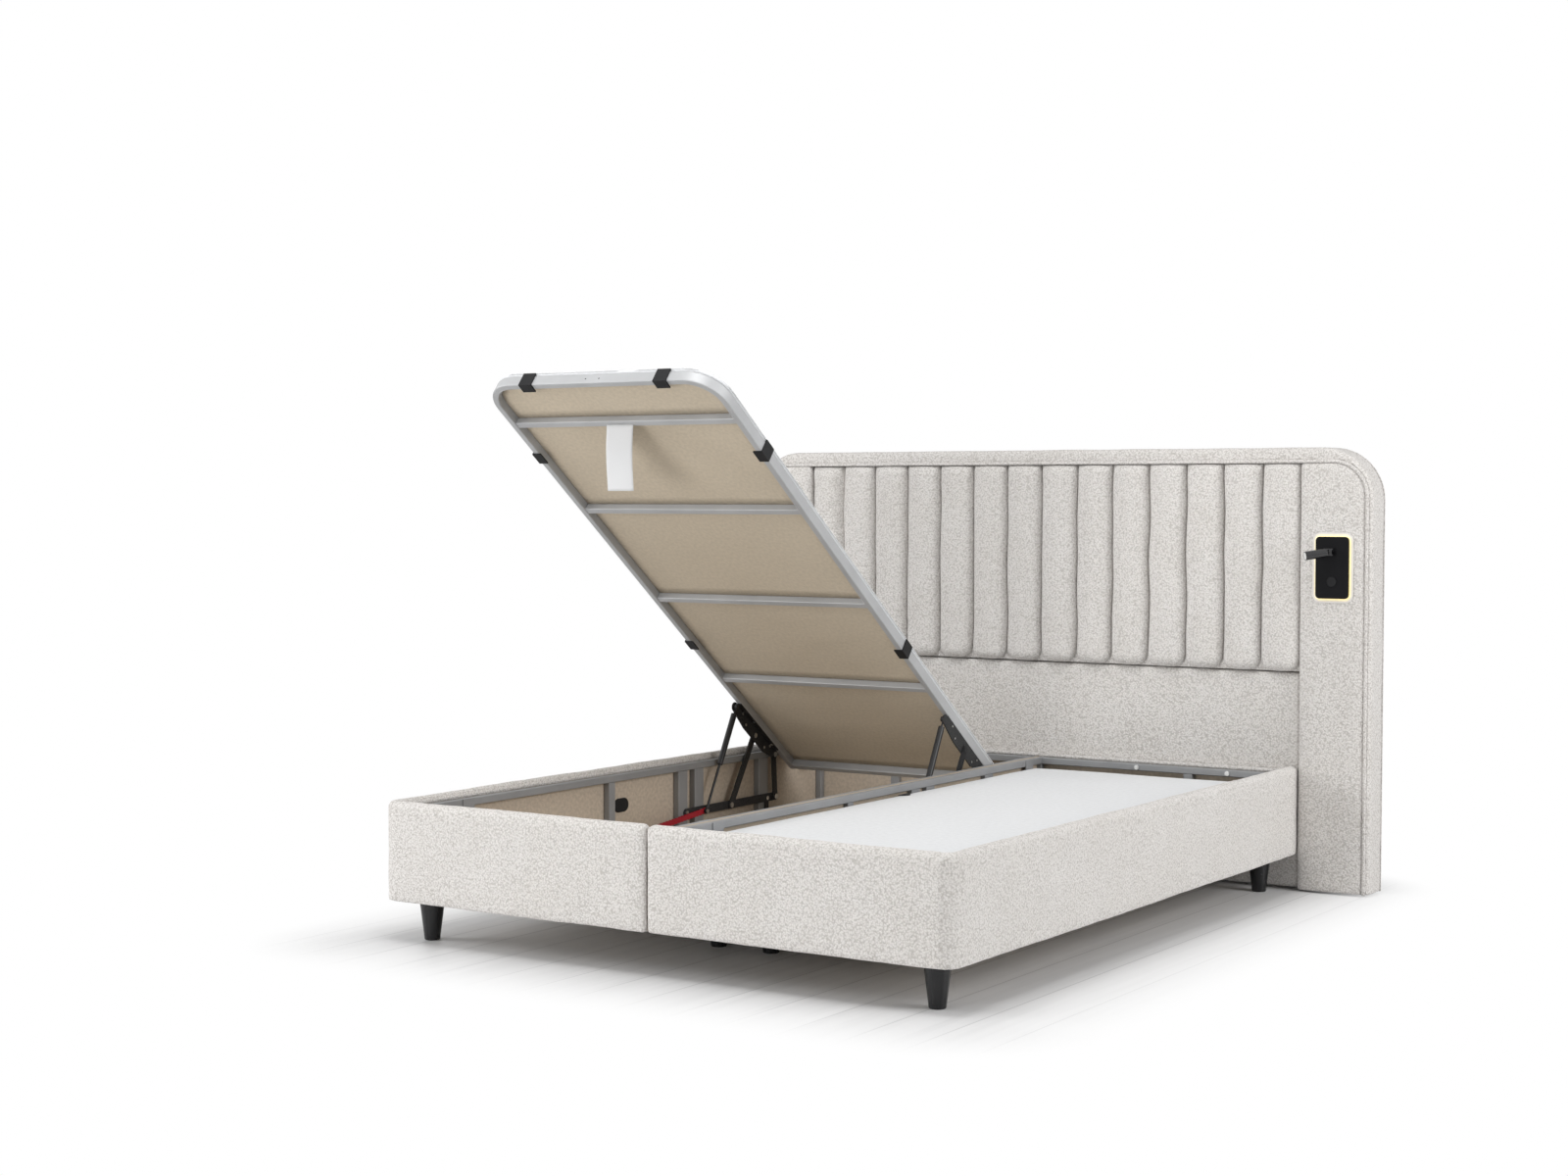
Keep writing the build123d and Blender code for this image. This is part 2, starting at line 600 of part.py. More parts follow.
def bar_bolts():
    bolts = []
    for spot in BAR_BOLTS:
        bolts.append(pin(spot, -TUBE_WALL, BAR_THICK, MOUNT_RADIUS)
                     + pin(spot, BAR_THICK, BAR_THICK + MOUNT_HEAD_THICK, MOUNT_HEAD_RADIUS))
    for spot in (FRONT_PIVOT, REAR_PIVOT):
        bolts.append(pin(spot, 0, LINK_OUT + HEAD_GAP, PIVOT_RADIUS)
                     + pin(spot, LINK_OUT + HEAD_GAP, LINK_OUT + HEAD_GAP + PIVOT_HEAD_THICK,
                           PIVOT_HEAD_RADIUS))
    collar = PIVOT_HEAD_RADIUS - MOUNT_NUT_GAP
    bolts.append(pin(GAS_PIVOT, 0, EYE_OUT + HEAD_GAP, GAS_ROD_RADIUS)
                 + pin(GAS_PIVOT, BAR_THICK, EYE_IN - HEAD_GAP, collar)
                 + pin(GAS_PIVOT, EYE_OUT + HEAD_GAP, EYE_OUT + HEAD_GAP + PIVOT_HEAD_THICK, collar))
    return bolts


write("lift_bars", both(pair(lift_bar())))
write("lift_bolts", both([piece for bolt in bar_bolts() for piece in pair(bolt)]))


# Moving links, gas springs and safety arms
def front_link(pose):
    body = upright(strap(FRONT_PIVOT, pose["front"], LINK_RADIUS), LINK_IN, LINK_OUT)
    body -= pin(FRONT_PIVOT, 0, FLANGE_OUT, PIVOT_RADIUS + RUNNING_GAP)
    return body + pin(pose["front"], LINK_IN - RIVET_HEAD_THICK, LINK_IN, PIVOT_HEAD_RADIUS)


def rear_link(pose):
    body = upright(strap(REAR_PIVOT, pose["rear"], LINK_RADIUS), LINK_IN, LINK_OUT)
    for spot in (REAR_PIVOT, pose["rear"]):
        body -= pin(spot, 0, FLANGE_OUT, PIVOT_RADIUS + RUNNING_GAP)
    return body


def gas_line(pose):
    """Unit direction from the lower to the upper end of the gas spring."""
    run = minus(pose["gas"], GAS_PIVOT)
    length = math.hypot(*run)
    return (run[0] / length, run[1] / length)


def along(point, line, distance):
    return (GAS_AXIS, point[0] + line[0] * distance, point[1] + line[1] * distance)


def gas_rod(pose):
    line = gas_line(pose)
    eye = pin(GAS_PIVOT, EYE_IN, EYE_OUT, EYE_RADIUS)
    piston_end = GAS_OPEN_LENGTH - GAS_END + GAS_CAP + GAS_STOP_GAP + GAS_PISTON_LENGTH
    piston_start = piston_end - GAS_PISTON_LENGTH
    shank = rod(along(GAS_PIVOT, line, EYE_RADIUS - GAS_WALL / 2), along(GAS_PIVOT, line, piston_start),
                GAS_ROD_RADIUS)
    piston = rod(along(GAS_PIVOT, line, piston_start), along(GAS_PIVOT, line, piston_end),
                 GAS_RADIUS - GAS_WALL - RUNNING_GAP)
    hole = pin(GAS_PIVOT, 0, EYE_OUT + GAS_RADIUS, GAS_ROD_RADIUS + RUNNING_GAP)
    return eye + shank + piston - hole


def gas_cylinder(pose):
    line = gas_line(pose)
    top = pose["gas"]
    eye = pin(top, EYE_IN, EYE_OUT + PIVOT_HEAD_THICK, EYE_RADIUS)
    neck = rod(along(top, line, -EYE_RADIUS + GAS_WALL), along(top, line, -GAS_START), GAS_NECK_RADIUS)
    barrel = rod(along(top, line, -GAS_START), along(top, line, -GAS_END), GAS_RADIUS)
    barrel -= rod(along(top, line, -GAS_START - GAS_CAP), along(top, line, -GAS_END + GAS_CAP),
                  GAS_RADIUS - GAS_WALL)
    barrel -= rod(along(top, line, -GAS_END + GAS_CAP + GAS_WALL), along(top, line, -GAS_END - GAS_CAP),
                  GAS_ROD_RADIUS + RUNNING_GAP)
    return eye + neck + barrel


def safety_arm():
    tip = plus(GAS_PIVOT, turned((-ARM_LENGTH, 0), ARM_DROP))
    body = upright(strap(GAS_PIVOT, tip, ARM_HEIGHT / 2) + Pos(*GAS_PIVOT) * Circle(EYE_RADIUS + ARM_RIB),
                   ARM_IN, ARM_OUT)
    pitch = ARM_LENGTH / ARM_RIB_COUNT
    for number in range(2, ARM_RIB_COUNT + 1):
        spot = plus(GAS_PIVOT, turned((-pitch * number + pitch / 2, 0), ARM_DROP))
        body += upright(Pos(*spot) * Rot(Z=ARM_DROP) * Rectangle(pitch / 2, ARM_HEIGHT + 2 * ARM_RIB),
                        ARM_IN, ARM_OUT)
    return body - pin(GAS_PIVOT, 0, EYE_OUT, PIVOT_HEAD_RADIUS - MOUNT_NUT_GAP + RUNNING_GAP)


# Lids, drawn in the lid's own frame: Y from the foot edge, Z from the underside
def lid_frame():
    inner = LID_HALF - LID_TUBE_WIDE
    head = LID_LENGTH - LID_HEAD_TUBE
    straight = LID_HALF - LID_BEND_RADIUS
    profile = tube_profile(LID_TUBE_WIDE, LID_TUBE_HIGH, LID_TUBE_WALL, LID_TUBE_ROUND)
    centre_line = LID_BEND_RADIUS - LID_TUBE_WIDE / 2
    across = Plane(origin=(centre_line, 0, LID_TUBE_HIGH / 2), x_dir=(1, 0, 0), z_dir=(0, -1, 0))
    elbow = revolve(across * profile, Axis.Z, revolution_arc=90)
    pieces = [tube(-straight, straight, 0, LID_TUBE_WIDE, 0, LID_TUBE_HIGH, LID_TUBE_WALL, LID_TUBE_ROUND),
              tube(-inner, inner, head, LID_LENGTH, 0, LID_TUBE_HIGH, LID_TUBE_WALL, LID_TUBE_ROUND),
              Pos(straight, LID_BEND_RADIUS) * Rot(Z=-90) * elbow,
              Pos(-straight, LID_BEND_RADIUS) * Rot(Z=180) * elbow]
    for x0, x1 in ((inner, LID_HALF), (-LID_HALF, -inner)):
        pieces.append(tube(x0, x1, LID_BEND_RADIUS, LID_LENGTH, 0, LID_TUBE_HIGH, LID_TUBE_WALL,
                           LID_TUBE_ROUND))
    low = LID_TUBE_HIGH - LID_BOARD_THICK - LID_CROSS_TUBE
    for start in (LID_LENGTH * share for share in LID_CROSS_SHARES):
        pieces.append(tube(-inner, inner, start, start + LID_CROSS_TUBE, low, low + LID_CROSS_TUBE,
                           LID_TUBE_WALL, TUBE_ROUND))
    return pieces


def lid_outline(edge, head_edge, corner, head_corner):
    """The lid's outline, drawn in by an edge on three sides and by another at the head end."""
    half = LID_HALF - edge
    shape = Pos(0, (edge + LID_LENGTH - head_edge) / 2) * Rectangle(2 * half, LID_LENGTH - head_edge - edge)
    shape = fillet(shape.vertices().sort_by(Axis.Y)[:2], corner)
    return fillet(shape.vertices().sort_by(Axis.Y)[-2:], head_corner)


def lid_board():
    edge = LID_TUBE_WIDE + LID_BOARD_GAP
    outline = lid_outline(edge, LID_HEAD_TUBE + LID_BOARD_GAP, LID_BEND_RADIUS - edge, LID_TUBE_ROUND)
    return Pos(Z=LID_TUBE_HIGH - LID_BOARD_THICK) * extrude(outline, amount=LID_BOARD_THICK)


def lid_pad():
    pad = Pos(Z=LID_TUBE_HIGH) * extrude(lid_outline(0, 0, LID_BEND_RADIUS, LID_HEAD_ROUND),
                                         amount=LID_PAD_THICK)
    pad = fillet(pad.faces().sort_by(Axis.Z)[-1].edges(), LID_PAD_ROUND)
    return fillet(pad.faces().sort_by(Axis.Z)[0].edges(), LID_PAD_UNDER_ROUND)


def lid_clips():
    half = CLIP_LENGTH / 2
    side = block(-CLIP_LEG, 0, -half, half, -CLIP_THICK, 0) + block(
        0, CLIP_THICK, -half, half, -CLIP_THICK, CLIP_HEIGHT)
    clips = [Pos(LID_HALF, LID_LENGTH * share) * side for share in CLIP_SIDE_SHARES]
    clips += [flip(piece) for piece in clips]
    foot_x = (LID_HALF - LID_BEND_RADIUS) * CLIP_FOOT_SHARE
    return clips + [Pos(x) * Rot(Z=-90) * side for x in (-foot_x, foot_x)]


# Brackets under the lid, in layers inward from the frame tube
RIVETS = ((LID_GAS[0] + LINK_WIDTH * 2, -LID_TUBE_WIDE / 2), (FLANGE_LOW_FOOT_Y, FLANGE_LOW_Z),
          (FLANGE_LOW_HEAD_Y, FLANGE_LOW_Z), (FLANGE_LOW_HEAD_Y + LINK_WIDTH, -LID_TUBE_WIDE / 2))
SHELF_BOLTS = (FLANGE_LOW_FOOT_Y + LINK_WIDTH, FLANGE_LOW_HEAD_Y + LINK_WIDTH)
SHELF_BOLT_U = FLANGE_OUT + FLANGE_LEG / 2


def lid_bracket():
    stops = [(LID_GAS, FLANGE_END_RADIUS), ((FLANGE_LOW_FOOT_Y, FLANGE_LOW_Z), FLANGE_END_RADIUS),
             ((FLANGE_LOW_HEAD_Y, FLANGE_LOW_Z), FLANGE_MID_RADIUS), (LID_REAR, -LID_REAR_Z)]
    outline = Pos((FLANGE_SHELF_FOOT_Y + FLANGE_SHELF_HEAD_Y) / 2, FLANGE_LOW_Z / 2) * Rectangle(
        FLANGE_SHELF_HEAD_Y - FLANGE_SHELF_FOOT_Y, -FLANGE_LOW_Z)
    for (start, wide), (end, narrow) in zip(stops, stops[1:]):
        outline += strap(start, end, min(wide, narrow))
    outline += Pos(*stops[0][0]) * Circle(stops[0][1])
    outline += Pos(*stops[2][0]) * Circle(stops[2][1])
    flange = upright(outline, FLANGE_IN, FLANGE_OUT)
    shelf = block(FLANGE_IN, FLANGE_OUT + FLANGE_LEG, FLANGE_SHELF_FOOT_Y, FLANGE_SHELF_HEAD_Y,
                  -FLANGE_THICK, 0)
    body = flange + shelf
    for spot in RIVETS:
        body -= pin(spot, FLANGE_IN - CUT_OVERRUN, FLANGE_OUT + CUT_OVERRUN, RIVET_RADIUS)
    for y in SHELF_BOLTS:
        body -= rod((SHELF_BOLT_U, y, -LID_TUBE_HIGH), (SHELF_BOLT_U, y, LID_TUBE_HIGH),
                    RIVET_RADIUS + BOLT_HOLE_GAP)
    return body - pin(LID_REAR, FLANGE_IN - CUT_OVERRUN, FLANGE_OUT + CUT_OVERRUN, PIVOT_RADIUS)


def lid_bolts():
    bolts = []
    for spot in RIVETS:
        bolts.append(pin(spot, FLANGE_IN, FLANGE_OUT, RIVET_RADIUS)
                     + pin(spot, FLANGE_OUT, FLANGE_OUT + RIVET_HEAD_THICK, RIVET_HEAD_RADIUS))
    bolts.append(pin(LID_FRONT, FLANGE_OUT, FLANGE_OUT + RIVET_HEAD_THICK, PIVOT_HEAD_RADIUS))
    bolts.append(pin(LID_REAR, LINK_IN - HEAD_GAP, FLANGE_OUT, PIVOT_RADIUS)
                 + pin(LID_REAR, LINK_IN - HEAD_GAP - PIVOT_HEAD_THICK, LINK_IN - HEAD_GAP, PIVOT_HEAD_RADIUS)
                 + pin(LID_REAR, FLANGE_OUT, FLANGE_OUT + PIVOT_HEAD_THICK, PIVOT_HEAD_RADIUS))
    for y in SHELF_BOLTS:
        low = -FLANGE_THICK - RIVET_HEAD_THICK
        bolts.append(rod((SHELF_BOLT_U, y, low), (SHELF_BOLT_U, y, -FLANGE_THICK), RIVET_HEAD_RADIUS)
                     + rod((SHELF_BOLT_U, y, -FLANGE_THICK), (SHELF_BOLT_U, y, 0), RIVET_RADIUS))
    return bolts


for side, pose in POSES.items():
    write(f"{side}_front_links", on_side(side, pair(front_link(pose))))
    write(f"{side}_rear_links", on_side(side, pair(rear_link(pose))))
    write(f"{side}_gas_rods", on_side(side, pair(gas_rod(pose))))
    write(f"{side}_gas_cylinders", on_side(side, pair(gas_cylinder(pose))))
    write(f"{side}_safety_arm", on_side(side, pair(safety_arm())[1:]))
    lid_pieces = {"lid_frame": lid_frame(), "lid_board": [lid_board()], "lid_pad": [lid_pad()],
                  "lid_clips": lid_clips(), "lid_brackets": lid_pair(lid_bracket()),
                  "lid_bolts": [piece for bolt in lid_bolts() for piece in lid_pair(bolt)]}
    for name, pieces in lid_pieces.items():
        write(f"{side}_{name}", on_side(side, seat_lid(pose, pieces)))


# Headboard
def head_outline(side, top, corner):
    """The headboard's front view: square at the floor, round at the upper corners."""
    height = HEAD_TOP - top - GLIDE_THICK
    half = HEAD_HALF_WIDTH - side
    shape = Pos(0, GLIDE_THICK + height / 2) * Rectangle(2 * half, height)
    return fillet(shape.vertices().sort_by(Axis.Y)[-2:], corner)


def from_front(sketch, front, back):
    """A sketch drawn in X and Z, made solid from one Y to another."""
    return Pos(Y=back) * extrude(Plane.XZ * sketch, amount=back - front)


inside = head_outline(BORDER_SIDE, BORDER_TOP, BORDER_CORNER)
outside = head_outline(0, 0, HEAD_CORNER)
panel = head_outline(BORDER_SIDE + PIPING_RADIUS, BORDER_TOP + PIPING_RADIUS, BORDER_CORNER - PIPING_RADIUS)

core = from_front(inside, CORE_FRONT, CORE_BACK)
for hole in both(bolt_holes):
    core -= hole
write("headboard_core", [core])
write("headboard_back", [from_front(outside, CORE_BACK, BACK)])

border = from_front(outside, BORDER_FRONT, CORE_BACK)
front_edges = border.faces().sort_by(Axis.Y)[0].edges().filter_by(lambda e: e.center().Z > GLIDE_THICK + HALF_GAP)
border = fillet(front_edges, BORDER_ROUND) - from_front(inside, BORDER_FRONT - CUT_OVERRUN, CORE_BACK)
write("headboard_border", [border])

piping_y = BORDER_FRONT - PIPING_RADIUS - BOLT_HOLE_GAP
half_run = HEAD_HALF_WIDTH - BORDER_SIDE
run_top = HEAD_TOP - BORDER_TOP
corner_low, corner_in = run_top - BORDER_CORNER, half_run - BORDER_CORNER
wire = Plane.XZ * (Line((-half_run, GLIDE_THICK), (-half_run, corner_low))
                   + CenterArc((-corner_in, corner_low), BORDER_CORNER, 180, -90)
                   + Line((-corner_in, run_top), (corner_in, run_top))
                   + CenterArc((corner_in, corner_low), BORDER_CORNER, 90, -90)
                   + Line((half_run, corner_low), (half_run, GLIDE_THICK)))
wire = Pos(Y=piping_y) * wire
piping = sweep(Plane(origin=(-half_run, piping_y, GLIDE_THICK), z_dir=(0, 0, 1)) * Circle(PIPING_RADIUS),
               path=wire)
write("headboard_piping", [piping])


def wing():
    body = from_front(panel, WING_FRONT, CORE_FRONT)
    body -= block(-2 * HEAD_HALF_WIDTH, WING_INNER_X, WING_FRONT - CUT_OVERRUN, CORE_FRONT + CUT_OVERRUN,
                  -CUT_OVERRUN, 2 * HEAD_TOP)
    front = body.faces().sort_by(Axis.Y)[0].edges().filter_by(
        lambda e: e.center().Z > GLIDE_THICK + HALF_GAP)
    return fillet(front, WING_ROUND)


right_wing = wing()
write("headboard_right_wing", [right_wing])
write("headboard_left_wing", [flip(right_wing)])


def channels():
    """The sewn panel: upright channels with a crown, round at both ends."""
    half = WING_INNER_X - PANEL_GAP
    top = HEAD_TOP - BORDER_TOP - PIPING_RADIUS
    high = top - CHANNEL_BOTTOM
    pitch = 2 * half / CHANNEL_COUNT
    curve = (pitch ** 2 / 4 + CHANNEL_CREST ** 2) / (2 * CHANNEL_CREST)
    crest = REAR - CHANNEL_CREST
    middle = CHANNEL_BOTTOM + high / 2
    side_view = block(-half, half, crest, CORE_FRONT, CHANNEL_BOTTOM, top)
    ends = side_view.edges().filter_by(Axis.X).sort_by(Axis.Y)[:2]
    side_view = fillet(ends, CHANNEL_END_ROUND)
    panel_body = block(-half, half, REAR, CORE_FRONT, CHANNEL_BOTTOM, top)
    for number in range(CHANNEL_COUNT):
        x = -half + pitch * (number + 0.5)
        lobe = Pos(x, crest + curve, middle) * Cylinder(curve, high)
        window = Pos(X=x) * from_front(Pos(0, middle) * RectangleRounded(pitch, high, CHANNEL_SCALLOP),
                                       crest - CUT_OVERRUN, CORE_FRONT)
        panel_body += lobe & window & side_view
    return panel_body


write("headboard_channels", [channels()])

lower = block(-WING_INNER_X + PANEL_GAP, WING_INNER_X - PANEL_GAP, REAR, CORE_FRONT, GLIDE_THICK,
              CHANNEL_BOTTOM - PANEL_GAP)
lower = fillet(lower.edges().filter_by(Axis.X).sort_by(Axis.Y)[:2].sort_by(Axis.Z)[-1], LOWER_ROUND)
for hole in both(bolt_holes):
    lower -= hole
write("headboard_lower_panel", [lower])

glide_y = (CORE_FRONT + CORE_BACK) / 2
glides = [rod((x, glide_y, 0), (x, glide_y, GLIDE_THICK), GLIDE_RADIUS)
          for x in (HEAD_HALF_WIDTH - GLIDE_OUTER_IN, HEAD_HALF_WIDTH * GLIDE_INNER_SHARE)]
write("headboard_glides", both(glides))

head_bolts = [rod((x, REAR_FACE, HEAD_BOLT_Z), (x, CORE_FRONT + HEAD_BOLT_BITE - CUT_OVERRUN, HEAD_BOLT_Z),
                  HEAD_BOLT_RADIUS)
              + rod((x, REAR_FACE - HEAD_BOLT_HEAD_THICK, HEAD_BOLT_Z), (x, REAR_FACE, HEAD_BOLT_Z),
                    HEAD_BOLT_HEAD) for x in HEAD_BOLTS]
write("headboard_bolts", both(head_bolts))

# Control plates with light guides, buttons and lamps
PLATE_BACK = WING_FRONT - GUIDE_THICK
PLATE_FRONT = PLATE_BACK - CONTROL_THICK


def centred(x, z, sketch):
    return Pos(x, z) * sketch


guide = from_front(centred(CONTROL_X, CONTROL_Z, RectangleRounded(
    CONTROL_WIDTH - 2 * GUIDE_INSET, CONTROL_HEIGHT - 2 * GUIDE_INSET, CONTROL_ROUND - GUIDE_INSET)),
    PLATE_BACK, WING_FRONT)
write("light_guides", both([guide]))

plate = from_front(centred(CONTROL_X, CONTROL_Z, RectangleRounded(CONTROL_WIDTH, CONTROL_HEIGHT, CONTROL_ROUND)),
                   PLATE_FRONT, PLATE_BACK)
plate = fillet(plate.faces().sort_by(Axis.Y)[0].edges(), CONTROL_EDGE)
button_back = PLATE_FRONT + BUTTON_LENGTH - BUTTON_PROUD
well_back = button_back + BUTTON_TRAVEL + HEAD_GAP
plate += from_front(centred(CONTROL_X, BUTTON_Z, Circle(BUTTON_RADIUS + RUNNING_GAP + BUTTON_RIM_WIDTH)),
                    PLATE_FRONT - BUTTON_RIM, PLATE_FRONT + CONTROL_EDGE)
plate -= from_front(centred(CONTROL_X, BUTTON_Z, Circle(BUTTON_RADIUS + RUNNING_GAP)),
                    PLATE_FRONT - CUT_OVERRUN, well_back)
write("control_plates", both([plate]))

button = from_front(centred(CONTROL_X, BUTTON_Z, Circle(BUTTON_RADIUS)), PLATE_FRONT - BUTTON_PROUD, button_back)
button = fillet(button.faces().sort_by(Axis.Y)[0].edges(), BUTTON_EDGE)
for side in POSES:
    write(f"{side}_button", on_side(side, [button]))

LAMP_PIVOT = (CONTROL_X, PLATE_FRONT - LAMP_REACH, LAMP_Z)
barrel_half = LAMP_BARREL_HEIGHT / 2
ear_top = barrel_half + HEAD_GAP + LAMP_EAR_THICK


def lamp_stem():
    x, y, z = LAMP_PIVOT
    stem = rod((x, y, z - barrel_half), (x, y, z + barrel_half), LAMP_BARREL_RADIUS)
    stem += rod((x, y, z), (x, PLATE_FRONT, z), LAMP_STEM_RADIUS)
    return stem - rod((x, y, z - LAMP_RADIUS), (x, y, z + LAMP_RADIUS), LAMP_PIN_RADIUS + RUNNING_GAP)


def lamp_body():
    """The lamp along +X from its pivot: a tube, closed at the pivot end, with two ears and a pin."""
    shell = rod((LAMP_START, 0, 0), (LAMP_LENGTH, 0, 0), LAMP_RADIUS)
    shell = fillet(shell.edges().filter_by(GeomType.CIRCLE), LAMP_EDGE)
    shell -= rod((LAMP_LENGTH - LAMP_RADIUS, 0, 0), (LAMP_LENGTH + CUT_OVERRUN, 0, 0), LAMP_RADIUS - LAMP_WALL)
    body = Rot(Y=LAMP_DIP) * shell
    for low in (barrel_half + HEAD_GAP, -ear_top):
        ear = Pos(Z=low) * extrude(Circle(LAMP_BARREL_RADIUS) + Pos(LAMP_START / 2) * Rectangle(
            LAMP_START + LAMP_RADIUS, 2 * LAMP_BARREL_RADIUS), amount=LAMP_EAR_THICK)
        body += ear
    # The barrel of the stem stays clear
    body -= rod((0, 0, -barrel_half - HEAD_GAP), (0, 0, barrel_half + HEAD_GAP), LAMP_START - LAMP_WALL)
    return body + rod((0, 0, -ear_top), (0, 0, ear_top), LAMP_PIN_RADIUS)


def lamp_lens():
    start = LAMP_LENGTH - LENS_INSET - LENS_THICK
    lens = rod((start, 0, 0), (start + LENS_THICK, 0, 0), LAMP_RADIUS - LAMP_WALL - RUNNING_GAP)
    return Rot(Y=LAMP_DIP) * lens


swing = Pos(*LAMP_PIVOT) * Rot(Z=180 + LAMP_ANGLE)
write("lamp_stems", both([lamp_stem()]))
for side in POSES:
    write(f"{side}_lamp", on_side(side, [swing * lamp_body()]))
    write(f"{side}_lamp_lens", on_side(side, [swing * lamp_lens()]))
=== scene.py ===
"""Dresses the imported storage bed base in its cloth, padding, metal and plastic, on a plain pale floor.

Lengths are in metres. X runs to the right, Y from the foot to the headboard, Z up, and the floor is Z = 0.
"""
import json
from math import copysign, pi, radians, sin, sqrt

import bmesh
import bpy
from bpy.props import FloatProperty, FloatVectorProperty, IntProperty, PointerProperty
from bpy.types import Operator, Panel, PropertyGroup, Scene
from mathutils import Euler, Matrix, Vector, noise


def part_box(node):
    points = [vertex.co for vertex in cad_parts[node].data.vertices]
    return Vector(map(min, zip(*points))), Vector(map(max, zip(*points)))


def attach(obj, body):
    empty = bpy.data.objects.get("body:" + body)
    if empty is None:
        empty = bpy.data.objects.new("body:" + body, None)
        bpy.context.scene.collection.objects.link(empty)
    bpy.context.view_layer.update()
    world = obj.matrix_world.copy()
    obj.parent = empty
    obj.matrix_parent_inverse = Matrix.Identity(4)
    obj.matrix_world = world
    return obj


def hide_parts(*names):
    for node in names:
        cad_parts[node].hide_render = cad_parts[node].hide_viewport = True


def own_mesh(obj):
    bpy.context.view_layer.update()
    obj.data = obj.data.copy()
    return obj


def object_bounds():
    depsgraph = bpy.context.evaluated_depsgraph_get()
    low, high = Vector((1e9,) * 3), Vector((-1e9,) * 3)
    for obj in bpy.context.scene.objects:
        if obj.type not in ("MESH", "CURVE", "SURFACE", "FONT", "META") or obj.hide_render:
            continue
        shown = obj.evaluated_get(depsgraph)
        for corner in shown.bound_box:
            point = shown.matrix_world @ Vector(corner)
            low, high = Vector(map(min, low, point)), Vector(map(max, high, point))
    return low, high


bl_info = {
    "name": "Storage bed dressing",
    "version": (1, 0, 0),
    "blender": (4, 5, 0),
    "location": "3D View > Sidebar > Bed",
    "description": "Covers, pads, linings and finishes for a storage bed base with a headboard",
    "category": "Object",
}

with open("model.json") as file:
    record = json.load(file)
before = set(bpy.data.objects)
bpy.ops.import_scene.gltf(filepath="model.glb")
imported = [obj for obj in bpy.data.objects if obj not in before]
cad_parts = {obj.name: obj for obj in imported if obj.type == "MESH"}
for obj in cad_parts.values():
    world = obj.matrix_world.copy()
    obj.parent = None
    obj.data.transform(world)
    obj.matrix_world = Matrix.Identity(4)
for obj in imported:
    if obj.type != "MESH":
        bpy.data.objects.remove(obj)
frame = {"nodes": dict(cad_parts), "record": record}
CAD_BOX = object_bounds()
SIDES = {"left": -1, "right": 1}

# The lid's own frame: its outline, tube sizes and where its cross tubes start, from its foot edge
LID_HALF = 0.367
LID_LENGTH = 1.874
LID_TUBE_WIDE = 0.018
LID_HEAD_TUBE = 0.022
LID_BOARD_UNDER = 0.023
LID_PAD_UNDER = 0.030
LID_BEND = 0.095
CROSS_TUBES = (0.157, 0.531, 0.952, 1.367)
CROSS_WIDE = 0.020
BAY_GAP = 0.0006
LID_PLACES = {
    "left": Matrix.Translation((-0.395, -0.753876, 1.409035)) @ Matrix.Rotation(radians(-37.4), 4, "X"),
    "right": Matrix.Translation((0.395, -1.0001, 0.2692)),
}

# The turn, in radians, past which an edge of a sheet is sharp
SHARP = 1.2

# Stands a flat piece up, with its upper face towards the foot
UPRIGHT = Matrix.Rotation(radians(90), 4, "X")

# How far apart the bands of a wave texture are at scale 1
WAVE_PITCH = 0.314


def metres(name, description, value):
    return FloatProperty(name=name, description=description, default=value, unit="LENGTH")


def watts(name, description, value):
    return FloatProperty(name=name, description=description, default=value, unit="POWER")


class BedSizes(PropertyGroup):
    """Sizes of the soft pieces and of their cloth."""

    curl: metres("Curl", "Width of one curl of the boucle", 0.0048)
    curl_height: metres("Curl height", "How far the curls stand up", 0.0024)
    thread: metres("Thread", "Pitch of the threads of the plain weaves", 0.0022)
    cover_voxel: metres("Cover mesh", "Mesh size of the base covers", 0.007)
    panel_voxel: metres("Panel mesh", "Mesh size of the headboard's pads", 0.0065)
    cover_crown: metres("Cover crown", "How far a cover bulges between its edges", 0.003)
    wing_crown: metres("Wing crown", "How far a wing's edges draw back", 0.004)
    pad_crown: metres("Pad crown", "How far a lid pad's edges draw down", 0.0025)
    ripple: metres("Ripple", "Height of the slow unevenness of the padding", 0.0016)
    seam_sway: metres("Seam sway", "How far a sewn seam wanders sideways", 0.0045)
    channel_crown: metres("Channel crown", "Height of a channel before it is filled", 0.027)
    channel_swell: metres("Channel swell", "Most that the filling moves the cloth", 0.005)
    channel_round: metres("Channel end", "Radius of a channel's lower corners", 0.036)
    channels: IntProperty(name="Channels", description="Upright channels of the headboard", default=14)
    welt_width: metres("Welt width", "Width of the welt round the headboard's front", 0.010)
    fold_depth: metres("Fold depth", "Depth of the slow folds in a stretched cloth", 0.006)
    halo: metres("Halo", "Width of the lit ring round a control plate", 0.012)
    plank: metres("Plank", "Width of one plank of the floor", 0.145)
    tab_radius: metres("Tab radius", "Radius of the half-round tab on the closed lid", 0.023)
    tab_place: metres("Tab place", "Distance of the tab from the lid's foot edge", 1.075)
    hole_radius: metres("Hole radius", "Radius of the screw holes in a foot tube", 0.0022)
    label_width: metres("Label width", "Width of the blank label", 0.085)
    label_length: metres("Label length", "Length of the blank label", 0.170)


def colour(name, description, value):
    return FloatVectorProperty(name=name, description=description, default=value, size=3, subtype="COLOR",
                               min=0, max=1)


